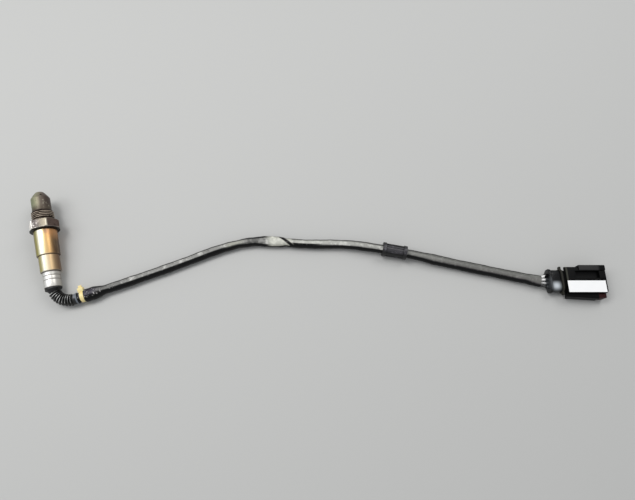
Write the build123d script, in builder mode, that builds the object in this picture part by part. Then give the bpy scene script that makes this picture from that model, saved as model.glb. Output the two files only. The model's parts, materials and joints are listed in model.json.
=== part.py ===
from build123d import *

import os
from math import atan, atan2, cos, degrees, radians, sin, tan

# Heated planar oxygen sensor with its four-wire lead and plug, in millimetres.
# The sensor lies on z = 0 on its washer face and the rear end of its sleeve, tip towards +Y.
# The lead leaves the rear end, turns towards +X and ends in a flat four-way plug.
# The origin is on the floor, at the middle of the sensor body's own box.

# ---- Driving dimensions -------------------------------------------------------------

fit_gap = 0.05               # clearance on every side of a seated piece

hex_flats = 22.0
hex_length = 7.4
hex_turn = 3.0               # top flat leans this much towards +X
hex_corner_circle = 24.2     # diameter that the hexagon's corners are turned down to at its face
washer_face_radius = 12.0
washer_face_length = 0.8

thread_radius = 9.0
thread_length = 10.1         # seat to the end of the thread
thread_chamfer = 0.9
relief_radius = 8.0
relief_length = 2.0
spigot_radius = 7.2
spigot_length = 2.8

gasket_outer_radius = 9.9
gasket_thickness = 1.6
gasket_lip_thickness = 0.9   # inner lip that keeps the gasket behind the thread

bore_radius = 5.8
bore_depth = 5.0             # seat to the shoulder that holds the lower insulator
throat_radius = 4.6
throat_length = 2.4
collar_wall = 3.0            # housing collar around the insulator bore
collar_length = 5.0
lip_radius = 4.9
lip_thickness = 1.0

seal_pack_length = 4.0
lower_insulator_length = 6.6

element_width = 4.0
element_thickness = 1.3
element_front = 21.0         # seat to the sensing end
element_rear = 27.0          # seat to the contact end

tube_wall = 0.5
tube_straight = 12.1         # thread end to the start of the shoulder
shoulder_radius = 5.2
shoulder_length = 3.7
dome_radius = 3.0
dome_length = 2.4
tube_hole_radius = 0.9
tube_hole_count = 6

inner_tube_radius = 4.5
inner_tube_wall = 0.4
inner_tube_length = 17.5     # counterbore floor to the crown
inner_hole_radius = 0.8
inner_hole_count = 2
inner_hole_height = 8.0      # counterbore floor to the ring of side holes

sleeve_wall = 0.55
sleeve_radius = (9.4, 8.3, 7.0)
sleeve_length = (22.7, 14.6, 14.2)
sleeve_step = 0.5            # length of the drawn shoulder between two diameters
crimp_place = (3.5, 7.1)     # last shoulder to each crimp
crimp_width = 0.9
crimp_depth = 0.3

holder_front = 17.0          # seat to the contact holder
holder_length = 18.5
holder_slot_width = 1.9
holder_slot_depth = 1.9
clamp_front = 20.0
clamp_length = 7.0
clamp_thickness = 0.5
clamp_split = 3.0

contact_width = 1.5
contact_thickness = 0.3
barrel_wall = 0.3
barrel_length = 5.0

grommet_length = 12.5
grommet_recess = 0.5         # grommet's rear face inside the sleeve's end

wire_radius = 1.0
wire_half_pitch = 1.35       # each wire from the middle of the bundle, both ways
wire_lead_in = 1.0           # straight stretch of each wire behind the rear cap
sheath_radius = 3.9
sheath_bore = 3.3
sheath_socket = 5.0          # depth of the bore modelled at each end of the sheath
socket_gap = 0.3             # wire's end to the bottom of that bore

arc_share = 0.45             # part of the shorter run that each arc of the lead takes
boot_bend_radius = 14.0
boot_bore = 3.3
boot_rim_radius = 6.8
boot_rim_length = 1.6
boot_root_radius = 3.9
boot_neck_length = 2.6
boot_rib_radius = 5.0
boot_rib_count = 9
boot_rib_pitch = 2.05
boot_rib_width = 1.1
bend_run_count = 5
boot_tail_radius = 4.6

tie_place = 3.8              # sheath end to the middle of the tie
tie_width = 3.4
tie_thickness = 0.8
tie_head_width = 5.4
tie_head_depth = 4.4
tie_head_height = 3.4
tie_head_angle = 35.0        # head leans away from the sensor's rear side
tie_tail_width = 2.5
tie_tail_thickness = 1.1
tie_tail_length = 2.2

clip_gap = 0.2               # room for the sheath's slight curve
clip_length = 22.5
clip_radius = 5.4
clip_flange_radius = 6.3
clip_flange_length = 3.2
clip_rib_count = 10
clip_rib_height = 0.45
clip_rib_width = 1.3

plug_heading = -14.5         # direction of the plug's nose, from +X
plug_gap = 6.5               # sheath end to the rear cap
terminal_height = 5.6
terminal_pitch = 3.5

cap_rim_width = 21.4
cap_rim_height = 10.4
cap_rim_length = 1.8
cap_width = 18.6
cap_height = 9.4
cap_length = 9.9             # rim included
cap_wall = 1.1
cap_hole_radius = 1.5

spigot_width_gap = 0.1
flange_width = 26.2
flange_height = 11.8
flange_thickness = 1.4
neck_width = 19.4
neck_height = 10.4
neck_length = 1.9

body_width = 23.4
body_height = 13.0
body_length = 34.8
body_corner = 2.6
step_place = 11.8            # body's rear face to its wider front part
rail_width = 5.2
rail_proud = 1.2             # rail outside the body's side
rail_rise = 0.9              # rail above the body's top
skirt_proud = 1.5
skirt_height = 7.6
channel_place = 8.3          # body's rear face to the latch channel
channel_width = 6.4
channel_depth = 2.8
channel_offset = 4.4         # plug's middle plane to the channel's middle
bridge_place = 22.4
bridge_length = 5.2
bridge_thickness = 1.4
mouth_width = 19.6
mouth_height = 6.8
mouth_depth = 20.5
mouth_corner = 1.6

pin_width = 1.5
pin_thickness = 0.8
pin_reach = 9.0              # pin inside the mouth
pin_taper = 1.0
terminal_bore = 1.4
seal_bore = 1.5
seal_length = 4.5

lock_length = 9.0
lock_height = 5.6
lock_proud = 1.5
lock_tongue_depth = 0.9
lock_tongue_height = 2.4
lock_tongue_length = 6.6

label_length = 33.2
label_width = 10.2
label_thickness = 0.15
label_inset = 0.3

# ---- Where the sensor lies ----------------------------------------------------------

hex_corner_radius = hex_flats / 2 / cos(radians(30))
hex_rear = hex_length + washer_face_length
rear_length = hex_rear + sum(sleeve_length)
tube_shoulder_place = thread_length + tube_straight
tip_length = tube_shoulder_place + shoulder_length + dome_length

tilt = atan((washer_face_radius - sleeve_radius[2]) / (rear_length - hex_rear))
seat_z = washer_face_radius * cos(tilt) + hex_rear * sin(tilt)
seat_y = ((rear_length - tip_length) * cos(tilt) + (sleeve_radius[2] - dome_radius) * sin(tilt)) / 2
rear_y = seat_y - rear_length * cos(tilt)

axis_direction = Vector(0, cos(tilt), sin(tilt))
seat_point = Vector(0, seat_y, seat_z)
SENSOR_AXIS = Axis(seat_point, axis_direction)
SEAT = Plane(origin=seat_point, x_dir=(-1, 0, 0), z_dir=axis_direction)
SECTION = Plane(origin=seat_point, x_dir=(1, 0, 0), z_dir=(0, -sin(tilt), cos(tilt)))
SIDE = Plane(origin=seat_point, x_dir=axis_direction, z_dir=(1, 0, 0))


def wall_outline(stations, wall):
    """Outline of a turned shell: (radius, height) stations of its outside, then its inside."""
    inside = [(radius - wall, height) for radius, height in reversed(stations)]
    return list(stations) + inside


def write(piece, name):
    """Label a finished piece and write its STEP file."""
    piece.part.label = name
    export_step(piece.part, f"parts/{name}.step")


# ---- Housing and gasket -------------------------------------------------------------

collar_radius = bore_radius + collar_wall
collar_rear = hex_rear + collar_length
counterbore_radius = bore_radius + 0.1
counterbore_floor = bore_depth + throat_length
spigot_front = thread_length + spigot_length

with BuildPart() as housing:
    with BuildSketch(SEAT):
        RegularPolygon(hex_flats / 2, 6, major_radius=False, rotation=hex_turn)
    extrude(amount=-hex_length)
    with BuildSketch(SECTION):
        corner_drop = (hex_corner_radius - hex_corner_circle / 2) / 2
        with BuildLine():
            Polyline(
                (0, 0),
                (hex_corner_circle / 2 - corner_drop, 0),
                (hex_corner_radius + 0.1, -2 * corner_drop),
                (hex_corner_radius + 0.1, -hex_length + corner_drop),
                (hex_corner_circle / 2, -hex_length),
                (0, -hex_length),
                close=True,
            )
        make_face()
    revolve(axis=SENSOR_AXIS, mode=Mode.INTERSECT)
    with BuildSketch(SECTION):
        with BuildLine():
            Polyline(
                (0, spigot_front),
                (spigot_radius, spigot_front),
                (spigot_radius, thread_length),
                (thread_radius - thread_chamfer, thread_length),
                (thread_radius, thread_length - thread_chamfer),
                (thread_radius, relief_length),
                (relief_radius, relief_length),
                (relief_radius, -hex_length),
                (washer_face_radius, -hex_length),
                (washer_face_radius, -hex_rear),
                (collar_radius, -hex_rear),
                (collar_radius, -collar_rear),
                (0, -collar_rear),
                close=True,
            )
        make_face()
    revolve(axis=SENSOR_AXIS)
    with BuildSketch(SECTION):
        with BuildLine():
            Polyline(
                (0, spigot_front),
                (counterbore_radius, spigot_front),
                (counterbore_radius, counterbore_floor),
                (throat_radius, counterbore_floor),
                (throat_radius, bore_depth),
                (bore_radius, bore_depth),
                (bore_radius, lip_thickness - collar_rear),
                (lip_radius, lip_thickness - collar_rear),
                (lip_radius, -collar_rear),
                (0, -collar_rear),
                close=True,
            )
        make_face()
    revolve(axis=SENSOR_AXIS, mode=Mode.SUBTRACT)
write(housing, "housing")

with BuildPart() as gasket:
    with BuildSketch(SECTION):
        with BuildLine():
            Polyline(
                (relief_radius + fit_gap, 0),
                (gasket_outer_radius, 0),
                (gasket_outer_radius, gasket_thickness),
                (thread_radius + fit_gap, gasket_thickness),
                (thread_radius + fit_gap, gasket_lip_thickness),
                (relief_radius + fit_gap, gasket_lip_thickness),
                close=True,
            )
        make_face()
    revolve(axis=SENSOR_AXIS)
write(gasket, "gasket")

# ---- Protection tubes ---------------------------------------------------------------

# The outer tube is pressed over the spigot and stops on the end of the thread.
tube_radius = spigot_radius + fit_gap + tube_wall
shoulder_front = tube_shoulder_place + shoulder_length
shoulder_slope = atan2(tube_radius - shoulder_radius, shoulder_length)

with BuildPart() as outer_protection_tube:
    with BuildSketch(SECTION):
        with BuildLine():
            Polyline(
                *wall_outline(
                    [
                        (tube_radius, thread_length),
                        (tube_radius, tube_shoulder_place),
                        (shoulder_radius, shoulder_front),
                        (dome_radius, tip_length),
                    ],
                    tube_wall,
                ),
                close=True,
            )
        make_face()
        with BuildLine():
            crown = tip_length - tube_wall
            Polyline((0, crown), (dome_radius, crown), (dome_radius, tip_length), (0, tip_length), close=True)
        make_face()
    revolve(axis=SENSOR_AXIS)
    with Locations(SEAT.offset((tube_shoulder_place + shoulder_front) / 2)):
        with PolarLocations((tube_radius + shoulder_radius) / 2 - tube_wall / 2, tube_hole_count):
            Cylinder(
                tube_hole_radius,
                4 * tube_wall,
                rotation=(0, 90 - degrees(shoulder_slope), 0),
                mode=Mode.SUBTRACT,
            )
    with Locations(SEAT.offset(tip_length)):
        Cylinder(tube_hole_radius, 4 * tube_wall, mode=Mode.SUBTRACT)
write(outer_protection_tube, "outer_protection_tube")

# The inner tube stands in the counterbore on a turned-out foot.
inner_crown = counterbore_floor + inner_tube_length

with BuildPart() as inner_protection_tube:
    with BuildSketch(SECTION):
        with BuildLine():
            Polyline(
                *wall_outline(
                    [
                        (inner_tube_radius, counterbore_floor),
                        (inner_tube_radius, inner_crown - inner_tube_radius / 2),
                        (inner_tube_radius / 2, inner_crown),
                    ],
                    inner_tube_wall,
                ),
                close=True,
            )
        make_face()
        with Locations((inner_tube_radius / 4, inner_crown - inner_tube_wall / 2)):
            Rectangle(inner_tube_radius / 2, inner_tube_wall)
        foot_outer = counterbore_radius - fit_gap
        foot_inner = inner_tube_radius - inner_tube_wall
        with Locations(((foot_outer + foot_inner) / 2, counterbore_floor + inner_tube_wall / 2)):
            Rectangle(foot_outer - foot_inner, inner_tube_wall)
    revolve(axis=SENSOR_AXIS)
    with Locations(SEAT.offset(counterbore_floor + inner_hole_height)):
        with PolarLocations(inner_tube_radius, inner_hole_count):
            Cylinder(inner_hole_radius, 4 * inner_tube_wall, rotation=(0, 90, 0), mode=Mode.SUBTRACT)
    with Locations(SEAT.offset(inner_crown)):
        Cylinder(inner_hole_radius, 4 * inner_tube_wall, mode=Mode.SUBTRACT)
write(inner_protection_tube, "inner_protection_tube")

# ---- Ceramic stack in the housing bore ----------------------------------------------

# From the shoulder back: lower insulator, pressed powder pack, upper insulator, rolled lip.
stack_radius = bore_radius - fit_gap
lower_rear = bore_depth - lower_insulator_length
pack_rear = lower_rear - seal_pack_length
upper_rear = lip_thickness - collar_rear


def stack_piece(front, rear, slot_gap):
    """A round ceramic piece from front to rear with the element's slot through it."""
    with BuildPart() as piece:
        with BuildSketch(SEAT.offset(rear)):
            Circle(stack_radius)
            Rectangle(element_width + 2 * slot_gap, element_thickness + 2 * slot_gap, mode=Mode.SUBTRACT)
        extrude(amount=front - rear)
    return piece


lower_insulator = stack_piece(bore_depth, lower_rear, fit_gap)
write(lower_insulator, "lower_insulator")

seal_pack = stack_piece(lower_rear, pack_rear, 0)
write(seal_pack, "seal_pack")

upper_insulator = stack_piece(pack_rear, upper_rear, fit_gap)
write(upper_insulator, "upper_insulator")

with BuildPart() as sensing_element:
    with BuildSketch(SEAT.offset(-element_rear)):
        Rectangle(element_width, element_thickness)
    extrude(amount=element_rear + element_front)
write(sensing_element, "sensing_element")

# ---- Protective sleeve --------------------------------------------------------------

# One drawn steel sleeve over the housing collar, in three steps, crimped on the grommet.
step_1 = -hex_rear - sleeve_length[0]
step_2 = step_1 - sleeve_length[1]
sleeve_rear = -rear_length


crimps = []
for place in crimp_place:
    top = step_2 - place
    crimps += [
        (sleeve_radius[2], top),
        (sleeve_radius[2] - crimp_depth, top - crimp_width / 2),
        (sleeve_radius[2], top - crimp_width),
    ]
bore_1, bore_2, bore_3 = [radius - sleeve_wall for radius in sleeve_radius]

with BuildPart() as protective_sleeve:
    with BuildSketch(SECTION):
        with BuildLine():
            Polyline(
                (sleeve_radius[0], -hex_rear),
                (sleeve_radius[0], step_1),
                (sleeve_radius[1], step_1 - sleeve_step),
                (sleeve_radius[1], step_2),
                (sleeve_radius[2], step_2 - sleeve_step),
                *crimps,
                (sleeve_radius[2], sleeve_rear),
                (bore_3, sleeve_rear),
                (bore_3, step_2 - sleeve_step),
                (bore_2, step_2),
                (bore_2, step_1 - sleeve_step),
                (bore_1, step_1),
                (bore_1, -hex_rear),
                close=True,
            )
        make_face()
    revolve(axis=SENSOR_AXIS)
write(protective_sleeve, "protective_sleeve")

# ---- Contact holder, contacts and clamp ring ----------------------------------------

holder_radius = sleeve_radius[1] - sleeve_wall - 2 * fit_gap
holder_rear = holder_front + holder_length
roof = element_thickness / 2 + holder_slot_depth


def holder_half(side):
    """One half of the ceramic contact holder: side 1 is above the element, -1 below."""
    with BuildPart() as piece:
        with BuildSketch(SEAT.offset(-holder_rear)):
            Circle(holder_radius)
            with Locations((0, -side * holder_radius / 2)):
                Rectangle(2 * holder_radius + 1, holder_radius + 2 * fit_gap, mode=Mode.SUBTRACT)
            Rectangle(
                element_width + 2 * fit_gap, element_thickness + 2 * fit_gap, mode=Mode.SUBTRACT
            )
            with Locations((-wire_half_pitch, side * roof / 2), (wire_half_pitch, side * roof / 2)):
                Rectangle(holder_slot_width, roof, mode=Mode.SUBTRACT)
        extrude(amount=holder_length)
    return piece


contact_holder_upper = holder_half(1)
write(contact_holder_upper, "contact_holder_upper")

contact_holder_lower = holder_half(-1)
write(contact_holder_lower, "contact_holder_lower")

with BuildPart() as clamp_ring:
    with BuildSketch(SEAT.offset(-clamp_front)):
        Circle(holder_radius + fit_gap + clamp_thickness)
        Circle(holder_radius + fit_gap, mode=Mode.SUBTRACT)
        with Locations((holder_radius, 0)):
            Rectangle(4 * clamp_thickness, clamp_split, mode=Mode.SUBTRACT)
    extrude(amount=-clamp_length)
write(clamp_ring, "clamp_ring")

barrel_radius = wire_radius + barrel_wall
barrel_front = holder_rear + 1.0


def contact(across, side):
    """A bowed spring contact that presses on the element, with its crimped wire barrel."""
    middle = contact_thickness / 2
    bow = side * (element_thickness / 2 + fit_gap + middle)
    back = side * (roof - fit_gap - middle)
    bow_place = -(element_rear - 2.5)
    with BuildPart() as piece:
        with BuildSketch(SIDE.offset(across - contact_width / 2)):
            with BuildLine():
                Polyline(
                    (-holder_front - 1.0, back),
                    (-holder_front - 3.0, back),
                    (bow_place + 1.0, bow),
                    (bow_place, bow),
                    (-element_rear - 2.0, side * wire_half_pitch),
                    (-barrel_front - 0.2, side * wire_half_pitch),
                )
            trace(line_width=contact_thickness)
        extrude(amount=contact_width)
        with BuildSketch(SEAT.offset(-barrel_front)):
            with Locations((-across, side * wire_half_pitch)):
                Circle(barrel_radius)
        extrude(amount=-barrel_length)
    return piece


contact_places = [(wire_half_pitch, 1), (wire_half_pitch, -1), (-wire_half_pitch, 1), (-wire_half_pitch, -1)]
for number, (across, side) in enumerate(contact_places, start=1):
    write(contact(across, side), f"contact_{number}")

# ---- Grommet in the sleeve's end ----------------------------------------------------

grommet_rear = sleeve_rear + grommet_recess
grommet_front = grommet_rear + grommet_length
grommet_radius = bore_3 - fit_gap

with BuildPart() as wire_grommet:
    with BuildSketch(SEAT.offset(grommet_front)):
        Circle(grommet_radius)
        with GridLocations(2 * wire_half_pitch, 2 * wire_half_pitch, 2, 2):
            Circle(wire_radius + fit_gap, mode=Mode.SUBTRACT)
    extrude(amount=-grommet_length)
write(wire_grommet, "wire_grommet")

# ---- Route of the lead --------------------------------------------------------------

# Points of the sheath's middle line, chosen by hand: x, y from the sleeve's rear end, height.
sheath_points = [
    (17.5, -13.8, 5.3),
    (30.2, -12.6, 5.2),
    (52.3, -10.7, 4.4),
    (80.3, -7.7, 4.0),
    (111.5, -4.2, 4.0),
    (143.0, 0.5, 4.0),
    (171.2, 1.5, 4.0),
    (194.7, -3.7, 4.0),
    (219.0, -13.3, 4.0),
    (252.7, -22.9, 4.4),
    (279.7, -34.9, clip_flange_radius),
    (307.4, -47.9, clip_flange_radius),
    (338.3, -63.8, 4.3),
    (370.3, -79.8, 4.0),
    (394.8, -92.2, 4.3),
    (409.7, -99.8, 5.4),
]
route = [Vector(x, rear_y + y, z) for x, y, z in sheath_points]
sheath_start = route[0]
sheath_end = route[-1]

# The boot turns from the sensor's axis to the sheath's first run in two equal corners.
tail = (route[1] - route[0]).normalized()
tail_heading = atan2(tail.Y, tail.X)
turn = radians(90) + tail_heading
corner_y = sheath_start.Y - sheath_start.X * tan(tail_heading)
corner_offset = boot_bend_radius * (tan(turn / 2) - tan(turn / 4))
sleeve_end = seat_point - axis_direction * rear_length
bend_in_y = corner_y + corner_offset
bend_in = Vector(0, bend_in_y, seat_z + (bend_in_y - seat_y) * tan(tilt))
tail_level = Vector(cos(tail_heading), sin(tail_heading), 0)
tail_left = (sheath_start - Vector(0, corner_y, 0)).dot(tail_level) - corner_offset
bend_out = sheath_start - tail * (tail_left / tail.dot(tail_level))


def corner_radii(points):
    """Radius of each corner's arc, which takes arc_share of the shorter run at the corner."""
    radii = []
    for before, here, after in zip(points, points[1:], points[2:]):
        run_in = here - before
        run_out = after - here
        half_turn = radians(run_in.get_angle(run_out)) / 2
        radii.append(arc_share * min(run_in.length, run_out.length) / tan(half_turn))
    return radii


def left_of(run):
    """Level unit vector to the left of a run."""
    return Vector(-run.Y, run.X, 0).normalized()


def beside(points, sideways, upwards):
    """The route shifted to the left and up, mitred at its corners."""
    shifted = [points[0] + left_of(points[1] - points[0]) * sideways]
    for before, here, after in zip(points, points[1:], points[2:]):
        first = left_of(here - before)
        second = left_of(after - here)
        shifted.append(here + (first + second) * (sideways / (1 + first.dot(second))))
    shifted.append(points[-1] + left_of(points[-1] - points[-2]) * sideways)
    return [point + Vector(0, 0, upwards) for point in shifted]


barrel_rear = barrel_front + barrel_length
wire_start = seat_point - axis_direction * (barrel_rear + fit_gap)
boot_radii = corner_radii([wire_start, bend_in, bend_out, route[1]])
bend_reach = arc_share * (bend_out - bend_in).length
sheath_radii = corner_radii(route)
print("sheath radii", [round(radius) for radius in sheath_radii])

with BuildPart() as sheath:
    with BuildLine() as sheath_line:
        FilletPolyline(*route, radius=sheath_radii)
    with BuildSketch(Plane(origin=sheath_start, z_dir=tail)):
        Circle(sheath_radius)
    sweep(path=sheath_line.wire())
    for mouth, inwards in ((sheath_start, tail), (sheath_end, route[-2] - route[-1])):
        with BuildSketch(Plane(origin=mouth, z_dir=inwards)):
            Circle(sheath_bore)
        extrude(amount=sheath_socket, mode=Mode.SUBTRACT)
sheath_length = sheath_line.wire().length
print("sheath length", round(sheath_length, 1))
write(sheath, "sheath")

# ---- Boot ---------------------------------------------------------------------------

# A rubber tube round the bend, with a rim on the sleeve's end and ribs in step along it.
with BuildLine() as boot_line:
    FilletPolyline(sleeve_end, bend_in, bend_out, sheath_start, radius=boot_radii)
boot_path = boot_line.wire()
boot_length = boot_path.length
print("boot radii", [round(radius, 1) for radius in boot_radii], "length", round(boot_length, 1))

ribs_start = boot_rim_length + boot_neck_length
rib_places = [ribs_start + (rib + 0.5) * boot_rib_pitch for rib in range(boot_rib_count)]
tail_place = ribs_start + boot_rib_count * boot_rib_pitch


def along_boot(place):
    """Section plane of the boot at a distance from the sleeve, facing the sheath."""
    share = place / boot_length
    return Plane(origin=boot_path @ share, z_dir=boot_path % share)


# The boot's wall and the wires in it follow the bend in short mitred runs.
bend_start = (bend_in - sleeve_end).length - bend_reach
bend_end = boot_length - ((sheath_start - bend_out).length - bend_reach)
bend_step = (bend_end - bend_start) / bend_run_count
bend_knots = [along_boot(bend_start + run * bend_step).origin for run in range(bend_run_count + 1)]
boot_knots = [sleeve_end] + bend_knots + [sheath_start]


def round_bar(points, radius, mode=Mode.ADD):
    """A bar of round section with mitred corners, joined to the part being built."""
    with BuildLine() as path:
        Polyline(*points)
    with BuildSketch(Plane(origin=points[0], z_dir=points[1] - points[0])) as section:
        Circle(radius)
    sweep(section.sketch, path=path.wire(), transition=Transition.RIGHT, mode=mode)


with BuildPart() as boot:
    round_bar(boot_knots, boot_root_radius)
    with BuildSketch(along_boot(0)):
        Circle(boot_rim_radius)
    extrude(amount=boot_rim_length)
    for place in rib_places:
        with BuildSketch(along_boot(place)):
            Circle(boot_rib_radius)
        extrude(amount=boot_rib_width / 2, both=True)
    with BuildSketch(along_boot(boot_length)):
        Circle(boot_tail_radius)
    extrude(amount=tail_place - boot_length)
    round_bar(boot_knots, boot_bore, Mode.SUBTRACT)
write(boot, "boot")

# ---- Cable tie ----------------------------------------------------------------------

tie_middle = sheath_start + tail * tie_place
tie_inner = sheath_radius + fit_gap
tie_outer = tie_inner + tie_thickness
TIE = Plane(origin=tie_middle - tail * tie_width / 2, x_dir=left_of(tail), z_dir=tail)
head_lean = radians(90 - tie_head_angle)
head_out = TIE.x_dir * cos(head_lean) + TIE.y_dir * sin(head_lean)
TIE_HEAD = Plane(origin=tie_middle + head_out * tie_inner, x_dir=tail, z_dir=head_out)

with BuildPart() as cable_tie:
    with BuildSketch(TIE_HEAD.offset(0.25)):
        Rectangle(tie_head_width, tie_head_depth)
    extrude(amount=tie_head_height)
    chamfer(cable_tie.edges().group_by(Axis(TIE_HEAD.origin, head_out))[-1], 0.5)
    with BuildSketch(TIE):
        Circle(tie_outer)
    extrude(amount=tie_width)
    with BuildSketch(TIE.offset(-tie_head_width)):
        Circle(tie_inner)
    extrude(amount=tie_width + 2 * tie_head_width, mode=Mode.SUBTRACT)
    with BuildSketch(TIE_HEAD.offset(tie_head_height)):
        Rectangle(tie_tail_width, tie_tail_thickness)
    extrude(amount=tie_tail_length)
write(cable_tie, "cable_tie")

# ---- Cable clip ---------------------------------------------------------------------

# A split-free rubber collar on the sheath, flanged at both ends, with grip ribs between.
clip_run = (route[11] - route[10]).normalized()
clip_start = (route[10] + route[11]) * 0.5 - clip_run * (clip_length / 2)
CLIP = Plane(origin=clip_start, x_dir=left_of(clip_run), z_dir=clip_run)

with BuildPart() as cable_clip:
    with BuildSketch(CLIP):
        Circle(clip_radius)
        with PolarLocations(clip_radius, clip_rib_count):
            Rectangle(2 * clip_rib_height, clip_rib_width)
    extrude(amount=clip_length)
    for flange_start in (0, clip_length - clip_flange_length):
        with BuildSketch(CLIP.offset(flange_start)):
            Circle(clip_flange_radius)
        extrude(amount=clip_flange_length)
    with BuildSketch(CLIP):
        Circle(sheath_radius + clip_gap)
    extrude(amount=clip_length, mode=Mode.SUBTRACT)
write(cable_clip, "cable_clip")

# ---- Plug ---------------------------------------------------------------------------

nose = Vector(cos(radians(plug_heading)), sin(radians(plug_heading)), 0)
plug_left = left_of(nose)
plug_origin = Vector(sheath_end.X, sheath_end.Y, 0) + nose * plug_gap


def across_plug(place):
    """Section plane of the plug: x to its left, y up from the floor, facing its nose."""
    return Plane(origin=plug_origin + nose * place, x_dir=plug_left, z_dir=nose)


terminal_places = [(shift * terminal_pitch, terminal_height) for shift in (1.5, 0.5, -0.5, -1.5)]
flange_place = cap_length + 0.1
neck_place = flange_place + flange_thickness
body_place = neck_place + neck_length
body_front = body_place + body_length
front_place = body_place + step_place
spigot_width = cap_width - 2 * cap_wall - 2 * spigot_width_gap
spigot_height = cap_height - 2 * cap_wall - 2 * spigot_width_gap
spigot_rear = cap_rim_length + 1.4
seal_floor = spigot_rear + seal_length + 0.3
mouth_floor = body_front - mouth_depth
channel_floor = body_height - channel_depth
channel_start = body_place + channel_place
bridge_start = body_place + bridge_place
rail_middle = (body_width / 2 + rail_proud) - rail_width / 2
skirt_middle = -(body_width / 2 + skirt_proud / 2)

with BuildPart() as rear_cap:
    with BuildSketch(across_plug(0)):
        with Locations((0, terminal_height)):
            RectangleRounded(cap_rim_width, cap_rim_height, cap_rim_height * 0.38)
    extrude(amount=cap_rim_length)
    chamfer(rear_cap.edges().filter_by(GeomType.LINE).group_by(SortBy.LENGTH)[-1], 0.5)
    with BuildSketch(across_plug(cap_rim_length)):
        with Locations((0, terminal_height)):
            RectangleRounded(cap_width, cap_height, cap_height * 0.48)
    extrude(amount=cap_length - cap_rim_length)
    with BuildSketch(across_plug(cap_rim_length)):
        with Locations((0, terminal_height)):
            inner_height = cap_height - 2 * cap_wall
            RectangleRounded(cap_width - 2 * cap_wall, inner_height, inner_height * 0.48)
    extrude(amount=cap_length - cap_rim_length, mode=Mode.SUBTRACT)
    with BuildSketch(across_plug(0)):
        with Locations(*terminal_places):
            Circle(cap_hole_radius)
    extrude(amount=cap_rim_length, mode=Mode.SUBTRACT)
write(rear_cap, "rear_cap")

with BuildPart() as plug_housing:
    # spigot inside the rear cap
    with BuildSketch(across_plug(spigot_rear)):
        with Locations((0, terminal_height)):
            RectangleRounded(spigot_width, spigot_height, spigot_height * 0.48)
    extrude(amount=flange_place - spigot_rear)
    # flange and neck
    with BuildSketch(across_plug(flange_place)):
        with Locations((0, terminal_height + 0.5)):
            RectangleRounded(flange_width, flange_height, flange_height * 0.3)
    extrude(amount=flange_thickness)
    with BuildSketch(across_plug(neck_place)):
        with Locations((0, terminal_height)):
            RectangleRounded(neck_width, neck_height, neck_height * 0.45)
    extrude(amount=neck_length)
    # body
    with BuildSketch(across_plug(body_place)):
        with Locations((0, body_height / 2)):
            RectangleRounded(body_width, body_height, body_corner)
    extrude(amount=body_length)
    # wider front: guard rail on the left, skirt on the right
    with BuildSketch(across_plug(front_place)):
        with Locations((rail_middle, (body_height + rail_rise) / 2)):
            RectangleRounded(rail_width, body_height + rail_rise, 1.2)
        with Locations((skirt_middle, skirt_height / 2)):
            RectangleRounded(skirt_proud + body_corner, skirt_height, 1.0)
    extrude(amount=body_length - step_place)
    # latch channel, open at the nose, with a bridge over it
    with BuildSketch(across_plug(channel_start)):
        with Locations((channel_offset, channel_floor + channel_depth)):
            Rectangle(channel_width, 2 * channel_depth)
    extrude(amount=body_front - channel_start, mode=Mode.SUBTRACT)
    with BuildSketch(across_plug(bridge_start)):
        with Locations((channel_offset, body_height - bridge_thickness / 2)):
            Rectangle(channel_width + 1, bridge_thickness)
    extrude(amount=bridge_length)
    # mouth for the mating half
    with BuildSketch(across_plug(mouth_floor)):
        with Locations((0, terminal_height)):
            RectangleRounded(mouth_width, mouth_height, mouth_corner)
    extrude(amount=mouth_depth, mode=Mode.SUBTRACT)
    # seal bores, terminal bores and pin slots
    with BuildSketch(across_plug(spigot_rear)):
        with Locations(*terminal_places):
            Circle(seal_bore)
    extrude(amount=seal_floor - spigot_rear, mode=Mode.SUBTRACT)
    with BuildSketch(across_plug(seal_floor)):
        with Locations(*terminal_places):
            Circle(terminal_bore)
    extrude(amount=body_place + 3.0 - seal_floor, mode=Mode.SUBTRACT)
    with BuildSketch(across_plug(body_place + 3.0)):
        with Locations(*terminal_places):
            Rectangle(pin_width + 2 * fit_gap, pin_thickness + 2 * fit_gap)
    extrude(amount=mouth_floor - body_place - 3.0, mode=Mode.SUBTRACT)
    # pocket for the side lock
    lock_place = body_front - lock_length - 0.6
    with BuildSketch(across_plug(lock_place)):
        with Locations((-(body_width / 2 + lock_proud), skirt_height / 2)):
            Rectangle(2 * lock_proud, skirt_height + 1)
    extrude(amount=body_front - lock_place, mode=Mode.SUBTRACT)
    with BuildSketch(across_plug(lock_place + (lock_length - lock_tongue_length) / 2)):
        with Locations((-body_width / 2, terminal_height - 1.0)):
            Rectangle(2 * lock_tongue_depth + 2 * fit_gap, lock_tongue_height + 2 * fit_gap)
    extrude(amount=lock_tongue_length + fit_gap, mode=Mode.SUBTRACT)
write(plug_housing, "plug_housing")

with BuildPart() as side_lock:
    with BuildSketch(across_plug(lock_place + fit_gap)):
        with Locations((-(body_width + lock_proud) / 2 - fit_gap, 0.4 + lock_height / 2)):
            RectangleRounded(lock_proud, lock_height, 0.5)
    extrude(amount=lock_length)
    with BuildSketch(across_plug(lock_place + (lock_length - lock_tongue_length) / 2 + fit_gap)):
        with Locations((-body_width / 2, terminal_height - 1.0)):
            Rectangle(2 * lock_tongue_depth, lock_tongue_height)
    extrude(amount=lock_tongue_length - fit_gap)
write(side_lock, "side_lock")

with BuildPart() as label:
    label_middle = -body_width / 2 + label_inset + label_width / 2
    with BuildSketch(across_plug(body_place + label_inset)):
        with Locations((label_middle, body_height + label_thickness / 2)):
            Rectangle(label_width, label_thickness)
    extrude(amount=label_length)
write(label, "label")

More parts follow.
